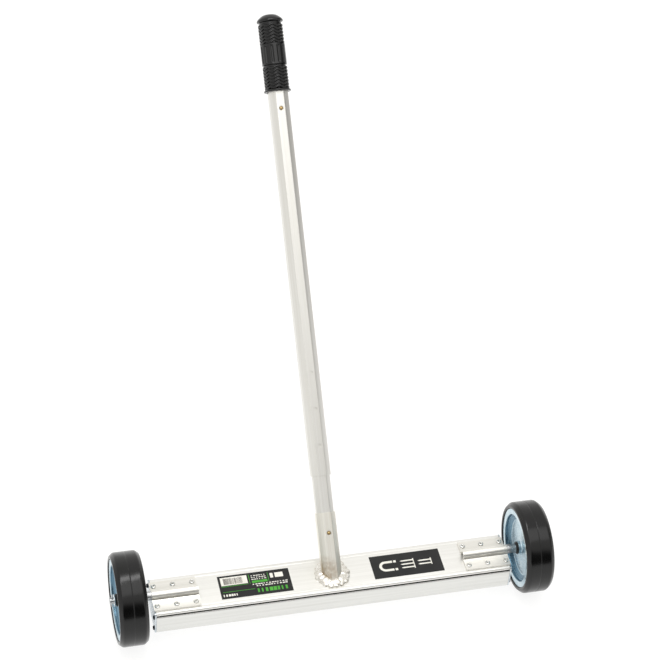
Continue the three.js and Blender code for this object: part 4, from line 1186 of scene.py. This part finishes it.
# %% Grip sleeve
FLUTES = 12
FLUTE_HALF = 2.3
FLUTE_DEEP = 1.7
FLUTED_RADIUS = 20.5
BORE_RADIUS = 18.2
BORE_END = 111.0
SLEEVE_SIDES = 240


def sleeve_outline():
    """The sleeve's section from the bore's end to its mouth, over the body and the cap."""
    body = [
        (BORE_RADIUS, 0.2, 0.2),
        (22.6, 0.0, 1.2),
        (23.1, 2.2, 1.4),
        (21.4, 4.0, 1.4),
        (GRIP_ROOT, 4.8, 0.6),
        (GRIP_ROOT, FLUTES_FROM - 1.4, 0.5),
        (20.9, FLUTES_FROM - 0.6, 0.8),
    ]
    rows = int(FLUTES_TO - FLUTES_FROM)
    middle = [Vector((20.9, FLUTES_FROM + i)) for i in range(1, rows)]
    cap = [
        (20.9, FLUTES_TO + 0.6, 0.8),
        (GRIP_ROOT, FLUTES_TO + 1.4, 0.5),
        (GRIP_ROOT, GRIP_LENGTH - 14.4, 0.6),
        (22.2, GRIP_LENGTH - 13.2, 1.0),
        (22.3, GRIP_LENGTH - 10.6, 1.6),
        (20.0, GRIP_LENGTH - 7.4, 3.0),
        (12.0, GRIP_LENGTH - 1.0, 6.0),
        (0, GRIP_LENGTH, 0),
    ]
    bore = [Vector((0, BORE_END)), Vector((BORE_RADIUS, BORE_END))]
    return bore + rounded(body, closed=False) + middle + rounded(cap, closed=False)


def flute_depth(radius, turn, along):
    """How deep the grooves press into the sleeve at an angle and a height."""
    if radius < FLUTED_RADIUS or not FLUTES_FROM < along < FLUTES_TO:
        return 0.0
    pitch = 2 * math.pi / FLUTES
    off = (turn / pitch - math.floor(turn / pitch) - 0.5) * pitch * 20.9
    ends = max(FLUTES_FROM + 4.2 - along, along - (FLUTES_TO - 4.2), 0.0)
    inside = 1 - math.hypot(off, ends) / FLUTE_HALF
    return FLUTE_DEEP * min(max(inside * 1.8, 0.0), 1.0) ** 0.7


grip_place = ON_HANDLE @ Matrix.Translation((0, 0, GRIP_START * MM))
sleeve = spun("sleeve", sleeve_outline(), SLEEVE_SIDES, grip_place, 40, flute_depth)
add_piece("visual_grip_sleeve", sleeve, grip_finish, "upper_handle", ["grip"])
print("grip from", round(GRIP_START, 1), "to", round(GRIP_START + GRIP_LENGTH, 1), "mm up the handle")

# %% [markdown]
# ## Labels
# Two printed vinyl labels lie on the plate, one each side of the handle. The real ones
# carry names, so these carry plain marks only: bars, dashes and blocks on the left one,
# and a horseshoe magnet with nails on the right one. Each mark is a thin patch of ink.

# %% Ink patches
INK = 0.06


def ink_mesh(shapes, origin):
    """Thin flat patches from outlines in mm, measured from a label's corner."""
    points, faces = [], []
    for shape in shapes:
        first, count = len(points), len(shape)
        points += [(a, b, 0.0) for a, b in shape] + [(a, b, INK) for a, b in shape]
        faces += [
            [first + i, first + (i + 1) % count, first + count + (i + 1) % count, first + count + i]
            for i in range(count)
        ]
        faces += [[first + i for i in range(count)][::-1], [first + count + i for i in range(count)]]
    return mesh_of("ink", points, faces, Matrix.Translation(origin))


def rectangle(x, y, wide, high):
    """A rectangle from its low corner."""
    return [(x, y), (x + wide, y), (x + wide, y + high), (x, y + high)]


def dashes(x, y, wide, high, count):
    """A row of short dashes of changing length that stands for a line of print."""
    made = []
    step = wide / count
    for i in range(count):
        length = step * (0.62 + 0.24 * math.sin(5.1 * i + y))
        made.append(rectangle(x + i * step, y, length, high))
    return made


for side, _ in SIDES:
    label = nodes["label_" + side]
    label.data.materials.clear()
    label.data.materials.append(vinyl_finish)
left_low, left_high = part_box("label_left")
right_low, right_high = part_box("label_right")
LABEL_WIDE = (left_high.x - left_low.x) / MM
LABEL_HIGH = (left_high.y - left_low.y) / MM
print("labels measure", round(LABEL_WIDE, 1), "by", round(LABEL_HIGH, 1), "mm")

# %% [markdown]
# The bars of the striped panel are all alike but for their width, so a tree makes them: a
# line of points, and on each a thin block with a random width from a fixed seed.

# %% Striped panel
BAR_SIZES = {"Count": 24, "Pitch": 1.35 * MM, "Height": 13.0 * MM, "Thick": INK * MM, "Seed": 5}


def bar_tree():
    """A row of upright bars with random widths."""
    tree, given = new_tree("printed_bars", BAR_SIZES)
    step = add_node(tree, "ShaderNodeCombineXYZ", {"X": given["Pitch"]})
    line = add_node(tree, "GeometryNodeMeshLine", {"Count": given["Count"], "Offset": step}, mode="OFFSET")
    size = add_node(
        tree, "ShaderNodeCombineXYZ", {"X": given["Pitch"], "Y": given["Height"], "Z": given["Thick"]}
    )
    bar = add_node(tree, "GeometryNodeMeshCube", {"Size": size})
    share = add_node(
        tree, "FunctionNodeRandomValue", {2: 0.2, 3: 0.85, "Seed": given["Seed"]}, data_type="FLOAT"
    )
    slim = add_node(tree, "ShaderNodeCombineXYZ", {"X": share.outputs[1], "Y": 1.0, "Z": 1.0})
    placed = add_node(
        tree, "GeometryNodeInstanceOnPoints", {"Points": line, "Instance": bar, "Scale": slim}
    )
    end_tree(tree, placed, given["Finish"])
    return tree


ink_level = left_high.z + 0.01 * MM
left_corner = Vector((left_low.x, left_low.y, ink_level))
bars = grown(bar_tree(), BAR_SIZES, dark_ink_finish)
bars = moved(bars, Matrix.Translation(left_corner + Vector((9.0, 36.5, 1.5 * INK)) * MM))
add_piece("label_left_bars", smoothed(bars), dark_ink_finish, "head", [])
print("striped panel:", BAR_SIZES["Count"], "bars")

# %% Left label
white_marks = [rectangle(4, 28, 45, 17.5), rectangle(88, 33, 5, 10), rectangle(96, 33, 14, 10)]
white_marks += dashes(56, 33.5, 26, 1.6, 6) + dashes(56, 37.5, 26, 1.6, 6) + dashes(56, 41.5, 26, 1.6, 6)
white_marks += dashes(56, 22.5, 60, 2.0, 13) + dashes(62, 18.5, 54, 2.0, 11) + dashes(4, 4.5, 26, 4.6, 6)
green_marks = [rectangle(56, 26.5, 26, 5), rectangle(4, 25.6, 45, 0.9), rectangle(4, 13.6, 54, 0.8)]
green_marks += [rectangle(52, 26, 0.8, 19.5), rectangle(84, 26, 0.8, 19.5)] + dashes(62, 5.6, 54, 8.0, 8)
add_piece("label_left_white", ink_mesh(white_marks, left_corner), white_ink_finish, "head", [])
add_piece("label_left_green", ink_mesh(green_marks, left_corner), green_ink_finish, "head", [])
print("left label:", len(white_marks), "white and", len(green_marks), "green marks")

# %% Right label
def horseshoe(x, y, radius, width, leg, steps=20):
    """A horseshoe magnet lying on its side, open towards +x."""
    outer = [math.pi / 2 + math.pi * i / steps for i in range(steps + 1)]
    shape = [(x + leg, y + radius)]
    shape += [(x + radius * math.cos(t), y + radius * math.sin(t)) for t in outer]
    shape += [(x + leg, y - radius), (x + leg, y - radius + width)]
    shape += [(x + (radius - width) * math.cos(t), y + (radius - width) * math.sin(t)) for t in outer[::-1]]
    shape += [(x + leg, y + radius - width)]
    return shape


def nail(x, y, length, thick, head):
    """A nail lying along x, with its head at the far end."""
    half = thick / 2
    return [
        (x, y),
        (x + 3.2, y - half),
        (x + length - 1.6, y - half),
        (x + length - 1.6, y - head / 2),
        (x + length, y - head / 2),
        (x + length, y + head / 2),
        (x + length - 1.6, y + head / 2),
        (x + length - 1.6, y + half),
        (x + 3.2, y + half),
    ]


MIDDLE = 24.5
marks = [horseshoe(24, MIDDLE, 11, 4.6, 13), *(rectangle(39, MIDDLE + y, 4.5, 4.6) for y in (6.4, -11))]
marks += [nail(50, MIDDLE + y, 24, 2.6, 7.0) for y in (-7.4, 0.0, 7.4)]
marks += [nail(80, MIDDLE + y, 24, 2.6, 7.0) for y in (-3.7, 3.7)]
right_corner = Vector((right_low.x, right_low.y, ink_level))
add_piece("label_right_white", ink_mesh(marks, right_corner), white_ink_finish, "head", [])
print("right label:", len(marks), "white marks")

# %% [markdown]
# ## Finishes for the pieces kept from the frame
# End plates, screws, magnets, the backing bar and the leaf springs have the right shape
# already. They only need their material.

# %% Give the kept pieces their finish
KEPT = {
    "end_plate_": plain_zinc_finish,
    "end_screw_": screw_finish,
    "magnet_": ferrite_finish,
    "backing_bar": steel_finish,
    "socket_button_spring": spring_finish,
    "telescope_button_spring": spring_finish,
}
painted = []
for name, node in nodes.items():
    for start, finish in KEPT.items():
        if name.startswith(start) and not node.hide_render:
            node.data.materials.clear()
            node.data.materials.append(finish)
            painted.append(name)
print("kept pieces painted:", len(painted))

# %% [markdown]
# ## Floor and light
# The tool stands on a white paper sweep. Flat metal only looks like metal when bright and
# dark surroundings meet in it, so the studio is bright behind, dark in front, and darkest
# on the right. One large softbox hangs above the front, and a narrow bright strip right
# overhead gives rubber its highlights. The paper glows a little, so that the ground stays
# white under the tool, and dims far to the right.

# %% Studio
FLOOR_HALF = 12.0
FLOOR_DROP = 0.0004
PAPER_EDGE = (1.8, 4.5)
PAPER_GLOW = (0.86, 0.4)
WALL_FADES = (("Y", -0.86, -0.74, 0.04, 0.93), ("X", 0.75, 0.97, 1.0, 0.25))
paper, paper_tree, paper_shader = new_material("white_paper", {"Roughness": 0.9})
fibres = grain(paper_tree, (3.0, 3.0, 3.0))
paper_tone = add_node(
    paper_tree, "ShaderNodeMix", {0: fibres, 6: srgb("7a7a78"), 7: srgb("807f7d")}, data_type="RGBA"
)
paper_tree.links.new(paper_tone.outputs[2], paper_shader.inputs["Base Color"])
across = add_node(paper_tree, "ShaderNodeTexCoord")
across = add_node(paper_tree, "ShaderNodeSeparateXYZ", {"Vector": across.outputs["Object"]})
dimming = dict(zip(RANGE, (*PAPER_EDGE, *PAPER_GLOW)))
glow = add_node(paper_tree, "ShaderNodeMapRange", {"Value": across.outputs["X"], **dimming})
paper_shader.inputs["Emission Color"].default_value = srgb("ffffff")
paper_tree.links.new(glow.outputs["Result"], paper_shader.inputs["Emission Strength"])
corners = [(x * FLOOR_HALF, y * FLOOR_HALF) for x, y in ((-1, -1), (1, -1), (1, 1), (-1, 1))]
floor_mesh = bpy.data.meshes.new("floor")
floor_mesh.from_pydata([(*corner, -FLOOR_DROP) for corner in corners], [], [[0, 1, 2, 3]])
floor_mesh.materials.append(paper)
floor = bpy.data.objects.new("floor", floor_mesh)
bpy.context.scene.collection.objects.link(floor)
floor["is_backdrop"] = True

world = bpy.data.worlds.new("studio_walls")
world.use_nodes = True
walls = world.node_tree
facing = add_node(walls, "ShaderNodeTexCoord")
facing = add_node(walls, "ShaderNodeSeparateXYZ", {"Vector": facing.outputs["Generated"]})
walls_light = add_node(walls, "ShaderNodeMath", operation="MULTIPLY")
for i, (axis, *span) in enumerate(WALL_FADES):
    fade = add_node(walls, "ShaderNodeMapRange", {"Value": facing.outputs[axis], **dict(zip(RANGE, span))})
    walls.links.new(fade.outputs["Result"], walls_light.inputs[i])
walls.nodes["Background"].inputs["Color"].default_value = srgb("fffefc")
walls.links.new(walls_light.outputs["Value"], walls.nodes["Background"].inputs["Strength"])
bpy.context.scene.world = world


def panel_light(name, place, wide, deep, brightness):
    """A soft panel that faces the tool; brightness is in times the white of the walls."""
    data = bpy.data.lights.new(name, "AREA")
    data.shape = "RECTANGLE"
    data.size = wide
    data.size_y = deep
    data.energy = brightness * math.pi * wide * deep
    lamp = bpy.data.objects.new(name, data)
    lamp.location = place
    lamp.rotation_euler = (AXLE - lamp.location).to_track_quat("-Z", "Y").to_euler()
    lamp.visible_camera = False
    bpy.context.scene.collection.objects.link(lamp)
    return lamp


panel_light("softbox", (0.3, -1.7, 4.7), 5.0, 2.6, 0.95)
panel_light("strip", (-0.2, 0.05, 2.9), 1.8, 0.5, 5.5)
bpy.context.scene.view_settings.view_transform = "Standard"
print("a softbox above the front and a bright strip overhead")

# %% [markdown]
# ## Camera
# The camera looks down from the front and a little from the left through a long lens, and
# is rolled by a few degrees. It turns about the front edge of the plate.

# %% Camera
CAMERA_YAW = math.radians(16.155)
CAMERA_RISE = math.radians(42.272)
CAMERA_ROLL = math.radians(4.940)
CAMERA_FAR = 3.4908
CAMERA_ASIDE = -0.0112
CAMERA_UP = 0.4342
SENSOR = 36.0
LENS_PER_WIDTH = 3.18329
PLATE_FRONT_EDGE = Vector((0, channel_low.y, PLATE_TOP))

back = Vector(
    (
        -math.sin(CAMERA_YAW) * math.cos(CAMERA_RISE),
        -math.cos(CAMERA_YAW) * math.cos(CAMERA_RISE),
        math.sin(CAMERA_RISE),
    )
)
level_right = (-back).cross(Vector((0, 0, 1))).normalized()
level_up = level_right.cross(-back)
right = math.cos(CAMERA_ROLL) * level_right + math.sin(CAMERA_ROLL) * level_up
up = math.cos(CAMERA_ROLL) * level_up - math.sin(CAMERA_ROLL) * level_right
camera_data = bpy.data.cameras.new("camera")
camera_data.sensor_width = SENSOR
camera_data.lens = SENSOR * LENS_PER_WIDTH
camera_data.clip_end = 60
camera = bpy.data.objects.new("camera", camera_data)
bpy.context.scene.collection.objects.link(camera)
spot = PLATE_FRONT_EDGE + back * CAMERA_FAR + right * CAMERA_ASIDE + up * CAMERA_UP
camera.matrix_world = Matrix.Translation(spot) @ Matrix((right, up, back)).transposed().to_4x4()
bpy.context.scene.camera = camera
print("camera at", [round(value, 3) for value in spot], "lens", round(camera_data.lens, 1), "mm")

# %% [markdown]
# ## The size against the frame
# The finished look is meant to fill the same box as the frame. The frame's box was printed
# at the start, and here the difference between the two boxes is printed.

# %% Print how far the finished look's box differs from the frame's
visual_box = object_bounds()
grow = [round((v - c) / MM, 2) for a, b in zip(visual_box, cad_box) for v, c in zip(a, b)]
print("visual box less frame box in mm:", grow)
